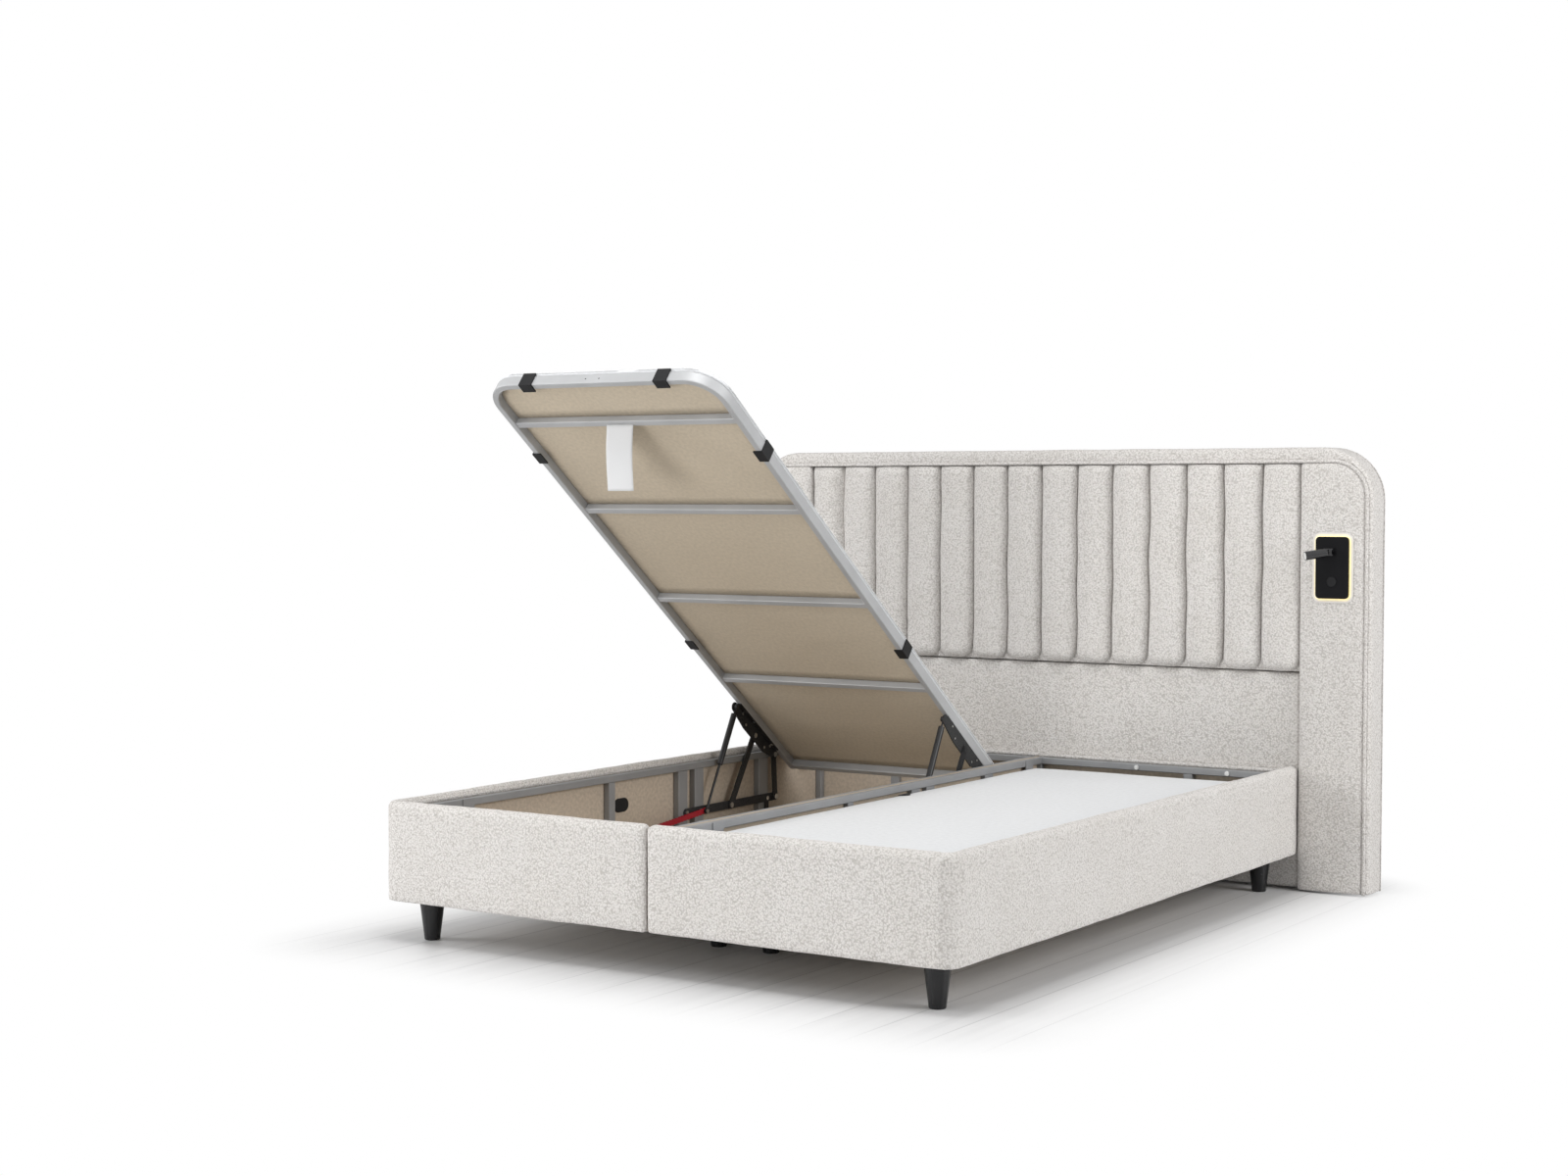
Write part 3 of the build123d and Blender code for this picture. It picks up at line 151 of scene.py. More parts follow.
class BedColours(PropertyGroup):
    """Colours of the cloths, coats and lamps."""

    boucle: colour("Boucle", "Crests of the boucle's curls", (0.762, 0.738, 0.715))
    # Painted shade: the colour given to the hollows between the curls
    boucle_painted_shade: colour("Boucle shade", "Hollows between the curls", (0.515, 0.490, 0.465))
    lid_cloth: colour("Lid cloth", "White cloth of the lid pads", (0.790, 0.801, 0.813))
    lining: colour("Lining", "Beige lining cloth of the box", (0.620, 0.530, 0.430))
    lid_lining: colour("Lid lining", "Beige cloth under the lids", (0.625, 0.540, 0.420))
    board: colour("Board", "Raw board", (0.540, 0.450, 0.350))
    steel: colour("Steel", "Grey coat of the lids' tubes", (0.475, 0.481, 0.489))
    # Painted shade: a darker copy of the lids' grey, for the tubes that lie in shade inside the boxes
    shaded_box_steel: colour("Box steel", "Darker grey coat of the boxes' tubes", (0.300, 0.304, 0.311))
    black_coat: colour("Black coat", "Powder coat of the lift mechanism", (0.018, 0.018, 0.019))
    zinc: colour("Bright zinc", "Bolts and rivets", (0.620, 0.620, 0.610))
    red: colour("Red plastic", "Safety arms", (0.420, 0.012, 0.028))
    leg: colour("Leg", "Painted legs", (0.012, 0.012, 0.013))
    gloss: colour("Gloss black", "Control plates and lamps", (0.007, 0.007, 0.008))
    glow: colour("Glow", "Lit edge behind the control plates", (1.0, 0.790, 0.330))
    label: colour("Label", "Blank label", (0.710, 0.715, 0.722))
    floor: colour("Floor", "Pale floor", (0.800, 0.800, 0.803))


class BedLight(PropertyGroup):
    """Lamps, world and camera."""

    key: watts("Key lamp", "Power of the lamp in front on the left", 141)
    right: watts("Right lamp", "Power of the lamp on the right", 140)
    top: watts("Top lamp", "Power of the lamp overhead", 60)
    low: watts("Low lamp", "Power of the low lamp in front", 86)
    world: FloatProperty(name="World", description="Strength of the even light", default=0.38)
    glow: FloatProperty(name="Glow", description="Strength of the light guides", default=1.1)
    lens: FloatProperty(name="Lens", description="Focal length of the camera in millimetres", default=54.25)
    fade_start: metres("Fade start", "Distance from the bed where the floor turns white", 0.0)
    fade_end: metres("Fade end", "Distance from the bed where the floor is all white", 0.37)


# Node helpers
def add(tree, kind, inputs=(), **settings):
    """A shader node with its settings and inputs. An input is a value, or a socket that is linked."""
    node = tree.nodes.new("ShaderNode" + kind)
    for key, value in settings.items():
        setattr(node, key, value)
    for key, value in dict(inputs).items():
        if isinstance(value, bpy.types.NodeSocket):
            tree.links.new(value, node.inputs[key])
        else:
            node.inputs[key].default_value = value
    return node


def new_finish(name, roughness, **sockets):
    """Makes a material with plain numbers on its shader's sockets. Returns its tree and its shader."""
    material = bpy.data.materials.new(name)
    material.use_nodes = True
    tree = material.node_tree
    shader = tree.nodes["Principled BSDF"]
    shader.inputs["Roughness"].default_value = roughness
    for key, value in sockets.items():
        shader.inputs[key.replace("_", " ")].default_value = value
    return tree, shader


def rgba(value):
    return (*value, 1.0)


def paint(tree, shader, colour_socket):
    tree.links.new(colour_socket, shader.inputs["Base Color"])


def place_socket(tree, layer=None):
    """Object coordinates, or a UV layer where the pattern follows the surface."""
    if layer:
        return add(tree, "UVMap", uv_map=layer).outputs["UV"]
    return add(tree, "TexCoord").outputs["Object"]


def ramp(tree, source, stops):
    """A blend between two stops along a value. A plain number is a grey."""
    node = add(tree, "ValToRGB", {"Fac": source})
    for element, (position, value) in zip(node.color_ramp.elements, stops):
        element.position = position
        element.color = rgba([value] * 3 if isinstance(value, (int, float)) else value)
    return node.outputs["Color"]


def maths(tree, operation, first, second=0.5):
    return add(tree, "Math", {0: first, 1: second}, operation=operation).outputs[0]


def cloud(tree, place, scale, detail=2.0, **settings):
    """Soft noise between 0 and 1."""
    inputs = {"Vector": place, "Scale": scale, "Detail": detail, **settings}
    return add(tree, "TexNoise", inputs).outputs["Fac"]


def raise_up(tree, shader, height, distance, strength, normal=None, invert=False):
    """Relief: a bump that the shader reads."""
    inputs = {"Height": height, "Distance": distance, "Strength": strength}
    if normal is not None:
        inputs["Normal"] = normal
    bump = add(tree, "Bump", inputs, invert=invert)
    tree.links.new(bump.outputs["Normal"], shader.inputs["Normal"])


def blend_colours(tree, share, first, second, mode="MIX"):
    """Two colours mixed. A mix node's colours are its inputs 6 and 7 and its output 2."""
    inputs = {0: share, 6: first, 7: second}
    return add(tree, "Mix", inputs, data_type="RGBA", blend_type=mode).outputs[2]


def darken(tree, first, second):
    """The product of two colours."""
    return blend_colours(tree, 1.0, first, second, "MULTIPLY")


def boucle_finish(name, sizes, colours):
    """Looped yarn: curls of two sizes that lean about, with painted shade in the hollows and a soft sheen."""
    tree, shader = new_finish(name, 0.95, Sheen_Weight=0.22, Sheen_Roughness=0.6, Specular_IOR_Level=0.15)
    place = place_socket(tree)
    sway = add(tree, "TexNoise", {"Vector": place, "Scale": 0.45 / sizes.curl, "Detail": 2.0})
    shift = add(tree, "VectorMath", {0: sway.outputs["Color"], 1: (0.5, 0.5, 0.5)},
                operation="SUBTRACT").outputs[0]
    shift = add(tree, "VectorMath", {0: shift, "Scale": 0.9 * sizes.curl}, operation="SCALE").outputs[0]
    place = add(tree, "VectorMath", {0: place, 1: shift}, operation="ADD").outputs[0]
    curls = add(tree, "TexVoronoi", {"Vector": place, "Scale": 1 / sizes.curl, "Smoothness": 0.45},
                feature="SMOOTH_F1").outputs["Distance"]
    loops = add(tree, "TexVoronoi", {"Vector": place, "Scale": 2.3 / sizes.curl})
    loops = loops.outputs["Distance"]
    low = maths(tree, "ADD", curls, maths(tree, "MULTIPLY", loops, 0.30))
    # Painted shade: the colour darkens from the curls' crests towards the hollows between them
    tone = ramp(tree, low, ((0.44, colours.boucle), (0.92, colours.boucle_painted_shade)))
    drift = ramp(tree, cloud(tree, place, 7.0, 3.0), ((0.30, (0.965, 0.960, 0.950)), (0.70, 1)))
    paint(tree, shader, darken(tree, tone, drift))
    raise_up(tree, shader, low, sizes.curl_height, 0.85, invert=True)


def weave_finish(name, tint, thread, fleck, patch, relief=0.4, folds=0.0, **sockets):
    """Plain weave: warp and weft waves that cross, slubs along them, slow patches and shallow folds."""
    tree, shader = new_finish(name, 0.9, Specular_IOR_Level=0.2, **sockets)
    place = place_socket(tree, "Flat")
    waves = []
    for direction in ("X", "Y"):
        inputs = {"Vector": place, "Scale": WAVE_PITCH / thread, "Distortion": 1.2, "Detail": 1.0,
                  "Detail Scale": 0.6}
        wave = add(tree, "TexWave", inputs, wave_type="BANDS", bands_direction=direction)
        waves.append(wave.outputs["Fac"])
    cross = maths(tree, "MULTIPLY", waves[0], waves[1])
    slubs = cloud(tree, place, 0.22 / thread, 4.0)
    patches = cloud(tree, place, 3.0, 3.0)
    light, dark = rgba(tint), rgba([c * (1 - fleck * 2) for c in tint])
    tone = blend_colours(tree, ramp(tree, slubs, ((0.35, 0), (0.65, 1))), dark, light)
    shade = ramp(tree, patches, ((0.3, 1 - patch), (0.7, 1)))
    tone = darken(tree, tone, shade)
    deep = ramp(tree, cross, ((0.0, 1 - fleck), (0.5, 1)))
    paint(tree, shader, darken(tree, tone, deep))
    lean = add(tree, "Mapping", {"Vector": place, "Rotation": (0, 0, 0.6), "Scale": (1.0, 3.2, 1.0)})
    slack = cloud(tree, lean.outputs["Vector"], 2.1, 1.5)
    slow = add(tree, "Bump", {"Height": slack, "Distance": folds, "Strength": 1.0})
    raise_up(tree, shader, maths(tree, "ADD", cross, slubs), thread * 0.3, relief, slow.outputs["Normal"])


def coat_finish(name, tint, rough, grain, relief, spread=0.08, shine=0.5, worn=None, **sockets):
    """Paint, powder coat, plastic or plated metal: fine grain, roughness that wanders, worn edges."""
    tree, shader = new_finish(name, rough, Specular_IOR_Level=shine, **sockets)
    place = place_socket(tree)
    fine = cloud(tree, place, 1 / grain, 3.0)
    slow = cloud(tree, place, 9.0, 4.0)
    tone = ramp(tree, slow, ((0.3, [c * 0.88 for c in tint]), (0.7, tint)))
    if worn:
        edge = add(tree, "NewGeometry").outputs["Pointiness"]
        share = ramp(tree, edge, ((0.52, 0), (0.60, 1)))
        share = maths(tree, "MULTIPLY", share, ramp(tree, fine, ((0.45, 0), (0.6, 1))))
        tone = blend_colours(tree, share, tone, rgba(worn))
    paint(tree, shader, tone)
    wander = maths(tree, "ADD", maths(tree, "MULTIPLY", slow, spread * 2), rough - spread)
    tree.links.new(wander, shader.inputs["Roughness"])
    raise_up(tree, shader, fine, grain * 0.3, relief)


def board_finish(name, tint):
    """Raw board: short fibres in all directions and slow patches."""
    tree, shader = new_finish(name, 0.85)
    place = place_socket(tree)
    fibres = cloud(tree, place, 260.0, 6.0, Distortion=1.5)
    patches = cloud(tree, place, 5.0, 3.0)
    tone = ramp(tree, fibres, ((0.3, [c * 0.8 for c in tint]), (0.7, [min(1, c * 1.1) for c in tint])))
    shade = ramp(tree, patches, ((0.3, 0.9), (0.7, 1)))
    paint(tree, shader, darken(tree, tone, shade))
    raise_up(tree, shader, fibres, 0.0004, 0.4)


def halo_finish(name, tint, cloth, strength):
    """Painted light on the cloth round a light guide: an emission that fades from the plate outwards, along
    the flat places.
    """
    tree, shader = new_finish(name, 0.9)
    shader.inputs["Base Color"].default_value = rgba(cloth)
    place = add(tree, "SeparateXYZ", {"Vector": place_socket(tree, "Fade")}).outputs["X"]
    grain = cloud(tree, place_socket(tree), 150.0)
    share = maths(tree, "POWER", place, 2.2)
    share = maths(tree, "MULTIPLY", share, maths(tree, "ADD", grain, 0.5))
    shader.inputs["Emission Color"].default_value = rgba((tint[0], tint[1], tint[2] * 0.5))
    tree.links.new(maths(tree, "MULTIPLY", share, strength), shader.inputs["Emission Strength"])


def lit_finish(name, tint, strength):
    """A lit light guide, a little brighter in patches where its lamps sit."""
    tree, shader = new_finish(name, 0.4)
    shader.inputs["Base Color"].default_value = rgba(tint)
    spots = cloud(tree, place_socket(tree), 40.0, 1.0)
    tree.links.new(ramp(tree, spots, ((0.3, [c * 0.9 for c in tint]), (0.7, tint))),
                   shader.inputs["Emission Color"])
    shader.inputs["Emission Strength"].default_value = strength


def floor_finish(name, sizes, tint, light):
    """Pale planks along the bed, which turn to plain white away from it where the camera sees them."""
    tree, shader = new_finish(name, 0.45, Specular_IOR_Level=0.25)
    place = place_socket(tree)
    axes = add(tree, "SeparateXYZ", {"Vector": place})
    row = maths(tree, "DIVIDE", axes.outputs["X"], sizes.plank)
    joint = maths(tree, "ABSOLUTE", maths(tree, "SUBTRACT", maths(tree, "FRACT", row), 0.5))
    line = ramp(tree, joint, ((0.482, 1), (0.496, 0.72)))
    shade = add(tree, "TexWhiteNoise", {"W": maths(tree, "FLOOR", row)}, noise_dimensions="1D")
    plank = ramp(tree, shade.outputs["Value"], ((0.0, [c * 0.955 for c in tint]), (1.0, tint)))
    streaks = add(tree, "Mapping", {"Vector": place, "Scale": (34.0, 1.3, 1.0)})
    grain = cloud(tree, streaks.outputs["Vector"], 1.0, 4.0)
    veins = ramp(tree, grain, ((0.35, 0.94), (0.6, 1)))
    paint(tree, shader, darken(tree, darken(tree, plank, veins), line))
    away = []
    for axis, reach in (("X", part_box("right_rail_cover")[1].x), ("Y", CAD_BOX[1][1])):
        size = maths(tree, "ABSOLUTE", axes.outputs[axis])
        away.append(maths(tree, "MAXIMUM", maths(tree, "SUBTRACT", size, reach), 0.0))
    square = [maths(tree, "MULTIPLY", part, part) for part in away]
    distance = maths(tree, "SQRT", maths(tree, "ADD", *square))
    reach = {"Value": distance, "From Min": light.fade_start, "From Max": light.fade_end}
    far = add(tree, "MapRange", reach, interpolation_type="SMOOTHSTEP")
    seen = add(tree, "LightPath").outputs["Is Camera Ray"]
    white = add(tree, "Emission", {"Color": (1, 1, 1, 1), "Strength": 1.0}).outputs["Emission"]
    share = maths(tree, "MULTIPLY", far.outputs["Result"], seen)
    mix = add(tree, "MixShader", {"Fac": share, 1: shader.outputs["BSDF"], 2: white})
    tree.links.new(mix.outputs["Shader"], tree.nodes["Material Output"].inputs["Surface"])


# Mesh helpers
def loose_object(name, bm):
    """An object of a bmesh. The bmesh is freed."""
    mesh = bpy.data.meshes.new(name)
    bm.to_mesh(mesh)
    bm.free()
    obj = bpy.data.objects.new(name, mesh)
    bpy.context.scene.collection.objects.link(obj)
    return obj


def to_piece(name, bm, finish_name, body, smooth=True):
    """Makes a piece of a bmesh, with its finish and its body."""
    obj = loose_object(name, bm)
    if smooth:
        obj.data.shade_smooth()
    obj.data.materials.append(bpy.data.materials[finish_name])
    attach(obj, body)
    return obj


def to_pad(name, bm, body, nodes, finish_name="Boucle", smooth=True):
    """Makes a padded piece that takes the place of CAD nodes."""
    obj = to_piece(name, bm, finish_name, body, smooth)
    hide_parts(*nodes)


def evaluated_bmesh(obj):
    """A bmesh of what an object's modifiers make of it. The object is removed."""
    depsgraph = bpy.context.evaluated_depsgraph_get()
    bm = bmesh.new()
    bm.from_object(obj, depsgraph)
    mesh = obj.data
    bpy.data.objects.remove(obj)
    bpy.data.meshes.remove(mesh)
    return bm


def evened_copy(nodes, voxel, passes, drop=None):
    """One welded copy of CAD nodes with an even mesh, its edges softened."""
    bm = bmesh.new()
    for node in nodes:
        bm.from_mesh(frame["nodes"][node].data)
    bmesh.ops.remove_doubles(bm, verts=bm.verts, dist=1e-5)
    if drop:
        inner = [face for face in bm.faces if drop(face)]
        bmesh.ops.delete(bm, geom=inner, context="FACES")
    obj = loose_object("evened", bm)
    remesh = obj.modifiers.new("Remesh", "REMESH")
    remesh.mode = "VOXEL"
    remesh.voxel_size = voxel
    bm = evaluated_bmesh(obj)
    for _ in range(passes):
        bmesh.ops.smooth_vert(bm, verts=bm.verts, factor=0.5, use_axis_x=True, use_axis_y=True,
                              use_axis_z=True)
    bm.normal_update()
    return bm


def ripple(bm, height, width, seed, keep=None):
    """Slow unevenness along the normals."""
    bm.normal_update()
    shift = Vector((seed, -seed, seed * 0.5))
    for vert in bm.verts:
        share = keep(vert.co) if keep else 1.0
        vert.co += vert.normal * height * share * noise.noise(vert.co / width + shift)


def cap_shift(rest, moved, most):
    """Keeps each point within a distance of where it was."""
    for vert, start in zip(moved, rest):
        step = vert.co - start
        if step.length > most:
            vert.co = start + step * (most / step.length)


def filled(bm, pins, most, pressure, slack, frames=20):
    """Fills a sewn shape with Blender's cloth: pins stay, the rest swells by up to a distance."""
    scene = bpy.context.scene
    rest = [vert.co.copy() for vert in bm.verts]
    obj = loose_object("filled", bm)
    group = obj.vertex_groups.new(name="sewn")
    group.add(pins, 1.0, "REPLACE")
    modifier = obj.modifiers.new("Cloth", "CLOTH")
    settings = {"quality": 6, "mass": 0.3, "tension_stiffness": 18, "compression_stiffness": 18,
                "shear_stiffness": 8, "bending_stiffness": 0.6, "use_pressure": True,
                "uniform_pressure_force": pressure, "vertex_group_mass": "sewn", "shrink_min": -slack}
    for key, value in settings.items():
        setattr(modifier.settings, key, value)
    modifier.settings.effector_weights.gravity = 0
    modifier.collision_settings.use_collision = False
    modifier.point_cache.frame_start, modifier.point_cache.frame_end = 1, frames
    for number in range(1, frames + 1):
        scene.frame_set(number)
    bm = evaluated_bmesh(obj)
    scene.frame_set(1)
    cap_shift(rest, bm.verts, most)
    return bm


def round_corner(x, y, half, low, high, low_round, high_round):
    """Maps a point of a rectangle into the same rectangle with round corners."""
    for corner_y, radius, sign in ((low + low_round, low_round, -1), (high - high_round, high_round, 1)):
        across, along = abs(x) - (half - radius), sign * (y - corner_y)
        if radius > 0 and across > 0 and along > 0:
            a, b = across / radius, along / radius
            x = copysign(half - radius + radius * a * sqrt(1 - b * b / 2), x)
            y = corner_y + sign * radius * b * sqrt(1 - a * a / 2)
    return x, y


def flat_panel(half, low, high, cell, low_round=0.0, high_round=0.0):
    """An even grid in X and Y with round corners, and its flat places as a UV map."""
    bm = bmesh.new()
    wide, long = max(2, round(2 * half / cell)), max(2, round((high - low) / cell))
    bmesh.ops.create_grid(bm, x_segments=wide, y_segments=long, size=1.0)
    for vert in bm.verts:
        x, y = vert.co.x * half, low + (vert.co.y + 1) / 2 * (high - low)
        vert.co.x, vert.co.y = round_corner(x, y, half, low, high, low_round, high_round)
    flat = bm.loops.layers.uv.new("Flat")
    for face in bm.faces:
        for loop in face.loops:
            loop[flat].uv = loop.vert.co.xy
    return bm


def new_verts(made):
    """The corners among what an operator made."""
    return [item for item in made["geom"] if isinstance(item, bmesh.types.BMVert)]


def thicken(bm, thickness):
    """Closes a sheet downwards by its thickness."""
    lower = bmesh.ops.extrude_face_region(bm, geom=bm.faces[:])
    bmesh.ops.translate(bm, verts=new_verts(lower), vec=(0, 0, -thickness))
    bmesh.ops.recalc_face_normals(bm, faces=bm.faces)


def bevel(bm, geom, offset, segments, affect="EDGES"):
    bmesh.ops.bevel(bm, geom=geom, offset=offset, offset_type="OFFSET", segments=segments, profile=0.5,
                    affect=affect, material=-1)


def round_rims(bm, offset, segments):
    """Rounds the sharp edges of a closed sheet."""
    bevel(bm, [edge for edge in bm.edges if edge.calc_face_angle(0) > SHARP], offset, segments)


def join_into(whole, bm):
    """Adds one bmesh to another and frees it."""
    mesh = bpy.data.meshes.new("share")
    bm.to_mesh(mesh)
    bm.free()
    whole.from_mesh(mesh)
    bpy.data.meshes.remove(mesh)


class BED_OT_finishes(Operator):
    """Make the cloths, coats and plastics"""

    bl_idname = "bed.finishes"
    bl_label = "Finishes"

    def execute(self, context):
        scene = context.scene
        sizes, colours, light = scene.bed_sizes, scene.bed_colours, scene.bed_light
        boucle_finish("Boucle", sizes, colours)
        weave_finish("Lid cloth", colours.lid_cloth, sizes.thread * 1.3, 0.03, 0.015, 0.5, Sheen_Weight=0.1)
        weave_finish("Box lining", colours.lining, sizes.thread, 0.09, 0.07)
        weave_finish("Lid lining", colours.lid_lining, sizes.thread, 0.05, 0.05, folds=sizes.fold_depth)
        weave_finish("Label paper", colours.label, 0.0007, 0.01, 0.02, 0.1)
        board_finish("Raw board", colours.board)
        lit_finish("Light guide", colours.glow, light.glow)
        halo_finish("Halo", colours.glow, colours.boucle, light.glow)
        coat_finish("Grey tube", colours.steel, 0.46, 0.004, 0.08, shine=0.35, Metallic=0.2)
        # Painted shade: the lids' grey tube copied darker for the boxes' tubes
        coat_finish("Box tube painted shade", colours.shaded_box_steel, 0.46, 0.004, 0.08, shine=0.3, Metallic=0.2)
        coat_finish("Black powder coat", colours.black_coat, 0.5, 0.0012, 0.3, shine=0.15, worn=[0.06] * 3)
        coat_finish("Gas spring black", colours.black_coat, 0.3, 0.002, 0.06, shine=0.3)
        coat_finish("Black clip plastic", colours.black_coat, 0.5, 0.0012, 0.25, shine=0.15)
        coat_finish("Bright zinc", colours.zinc, 0.3, 0.001, 0.1, Metallic=1.0)
        coat_finish("Red plastic", colours.red, 0.4, 0.0015, 0.12)
        coat_finish("Leg paint", colours.leg, 0.25, 0.006, 0.05, shine=0.3, Coat_Weight=0.15,
                    Coat_Roughness=0.12)
        coat_finish("Gloss black", colours.gloss, 0.1, 0.01, 0.02, spread=0.03, Coat_Weight=0.5,
                    Coat_Roughness=0.04)
        coat_finish("Plate black", colours.gloss, 0.45, 0.006, 0.03, spread=0.05, shine=0.06)
        coat_finish("Button black", (0.011, 0.011, 0.012), 0.4, 0.002, 0.05, shine=0.1)
        coat_finish("Lamp lens", (0.80, 0.80, 0.78), 0.25, 0.002, 0.05)
        coat_finish("Glide plastic", (0.03, 0.03, 0.03), 0.5, 0.0015, 0.15)
        return {"FINISHED"}


class BED_OT_dress_frame(Operator):
    """Give the rigid pieces of the frame their finishes"""

    bl_idname = "bed.dress_frame"
    bl_label = "Rigid pieces"

    def execute(self, context):
        by_slot = {
            "board": "Raw board", "lid_board": "Raw board", "steel": "Grey tube", "bolt_steel": "Bright zinc",
            "black_steel": "Black powder coat", "gas_black": "Gas spring black", "red_plastic": "Red plastic",
            "clip_black": "Black clip plastic", "leg_black": "Leg paint", "gloss_black": "Gloss black",
            "light_guide": "Light guide", "lens": "Lamp lens", "glide": "Glide plastic",
            "boucle": "Boucle", "head_cloth": "Boucle", "piping_cloth": "Boucle",
            "lining": "Box lining", "lid_cloth": "Lid cloth",
        }
        # The boxes' tubes, lid rests and leg plates take the darker copy of the grey tube: painted shade
        by_node = {
            "control_plates": "Plate black", "left_button": "Button black", "right_button": "Button black",
            "left_base_frame": "Box tube painted shade", "right_base_frame": "Box tube painted shade", "lid_rests": "Box tube painted shade",
            "leg_plates": "Box tube painted shade",
        }
        for part in frame["record"]["subparts"]:
            mesh = frame["nodes"][part["node"]].data
            mesh.materials.clear()
            name = by_node.get(part["node"], by_slot[part["material_slot"]])
            mesh.materials.append(bpy.data.materials[name])
        return {"FINISHED"}


class BED_OT_base_covers(Operator):
    """Wrap each half of the base in one padded cover"""

    bl_idname = "bed.base_covers"
    bl_label = "Base covers"

    def execute(self, context):
        sizes = context.scene.bed_sizes
        near, corner, head_fade, seam_fade = 0.006, 0.03, 0.05, 0.06
        for side, sign in SIDES.items():
            nodes = (f"{side}_rail_cover", f"{side}_foot_cover")
            low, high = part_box(nodes[0])
            foot = low.y
            outer = high.x if sign > 0 else low.x
            mitre = abs(outer) + foot

            def on_mitre(face):
                centre = face.calc_center_median()
                return abs(sign * centre.x + centre.y - mitre) < 1e-4 and abs(face.normal.z) < 0.1

            bm = evened_copy(nodes, sizes.cover_voxel, 3, on_mitre)
            for vert in bm.verts:
                rise = (vert.co.z - low.z) / (high.z - low.z)
                crown = sizes.cover_crown * (1 - (2 * rise - 1) ** 6)
                if abs(abs(vert.co.x) - abs(outer)) < near and vert.co.y > foot + corner:
                    ends = 1 - max(0.0, 1 - (high.y - vert.co.y) / head_fade) ** 2
                    vert.co.x += sign * crown * ends
                elif vert.co.y < foot + near and abs(vert.co.x) < abs(outer) - corner:
                    ends = 1 - max(0.0, 1 - abs(vert.co.x) / seam_fade) ** 2
                    vert.co.y -= crown * ends
            ripple(bm, sizes.ripple, 0.16, 3.7 * sign)
            ripple(bm, sizes.ripple * 0.45, 0.045, 9.1 * sign)
            to_pad(f"{side}_base_wrap", bm, "base", nodes)
        return {"FINISHED"}


class BED_OT_wall_linings(Operator):
    """Stretch the lining cloth over the inner walls, and turn the boucle down above it"""

    bl_idname = "bed.wall_linings"
    bl_label = "Wall linings"

    def stand(self, name, length, bottom, top, thickness, place, angle, seed):
        """A flat sheet stood upright, turned about Z and set on its wall."""
        cell, unevenness = 0.024, 0.0003
        bm = flat_panel(length / 2, bottom, top, cell)
        thicken(bm, thickness)
        for vert in bm.verts:
            vert.co.z += unevenness * noise.noise(Vector((vert.co.x * 6, vert.co.y * 6, seed)))
        turn = Matrix.Rotation(radians(angle), 4, "Z") @ UPRIGHT
        bm.transform(Matrix.Translation(place) @ turn)
        kind = ("Boucle", "boucle") if name.endswith("edging") else ("Box lining", "lining")
        return to_piece(name, bm, kind[0], "base")

    def execute(self, context):
        low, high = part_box("wall_linings")
        tube_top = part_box("left_base_frame")[1].z
        deep = 0.002
        inner = high.x - deep
        lining_top, edging_low = tube_top - 0.0012, tube_top + 0.0003
        edging_tops = {"rail": high.z + 0.004, "foot": high.z + 0.004, "head": high.z + 0.0024}
        sheets = []
        for side, sign in SIDES.items():
            for piece, first, trim, thickness, gap in (
                    ("lining", 0.004, 0.002, 0.0011, 0.0004), ("edging", 0.0006, 0.0004, 0.0015, 0.0002)):
                middle = sign * (inner + first) / 2
                rail = (sign * inner, (low.y + high.y) / 2, 0)
                for wall, board, length, place, outwards, angle in (
                        ("rail", "rail_boards", high.y - low.y, rail, (sign, 0, 0), -90 * sign),
                        ("foot", "foot_boards", inner - first, (middle, low.y + deep, 0), (0, -1, 0), 180),
                        ("head", "rear_boards", inner - first, (middle, high.y - deep, 0), (0, 1, 0), 0)):
                    bottom, top = low.z, lining_top
                    if piece == "edging":
                        bottom, top = edging_low, edging_tops[wall]
                    sheet = self.stand(f"{side}_{wall}_{piece}", length - trim, bottom, top, thickness,
                                       Vector(place) + gap * Vector(outwards), angle, len(sheets))
                    sheets.append(sheet)
        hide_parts("wall_linings")
        return {"FINISHED"}


class BED_OT_rear_wraps(Operator):
    """Turn the boucle over the top of the rear boards"""

    bl_idname = "bed.rear_wraps"
    bl_label = "Rear board wraps"

    def execute(self, context):
        low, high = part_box("rear_boards")
        thick, edge, first = 0.0015, 0.0004, 0.0002
        half = (high.x - first) / 2
        depth = (high.y - low.y) / 2 - edge
        for side, sign in SIDES.items():
            bm = flat_panel(half - 0.001, -depth, depth, 0.009)
            thicken(bm, thick)
            ripple(bm, 0.0002, 0.02, sign)
            centre = (sign * (first + half), (low.y + high.y) / 2, high.z + thick + edge)
            bmesh.ops.translate(bm, verts=bm.verts, vec=centre)
            wrap = to_piece(f"{side}_rear_wrap", bm, "Boucle", "base")
        return {"FINISHED"}


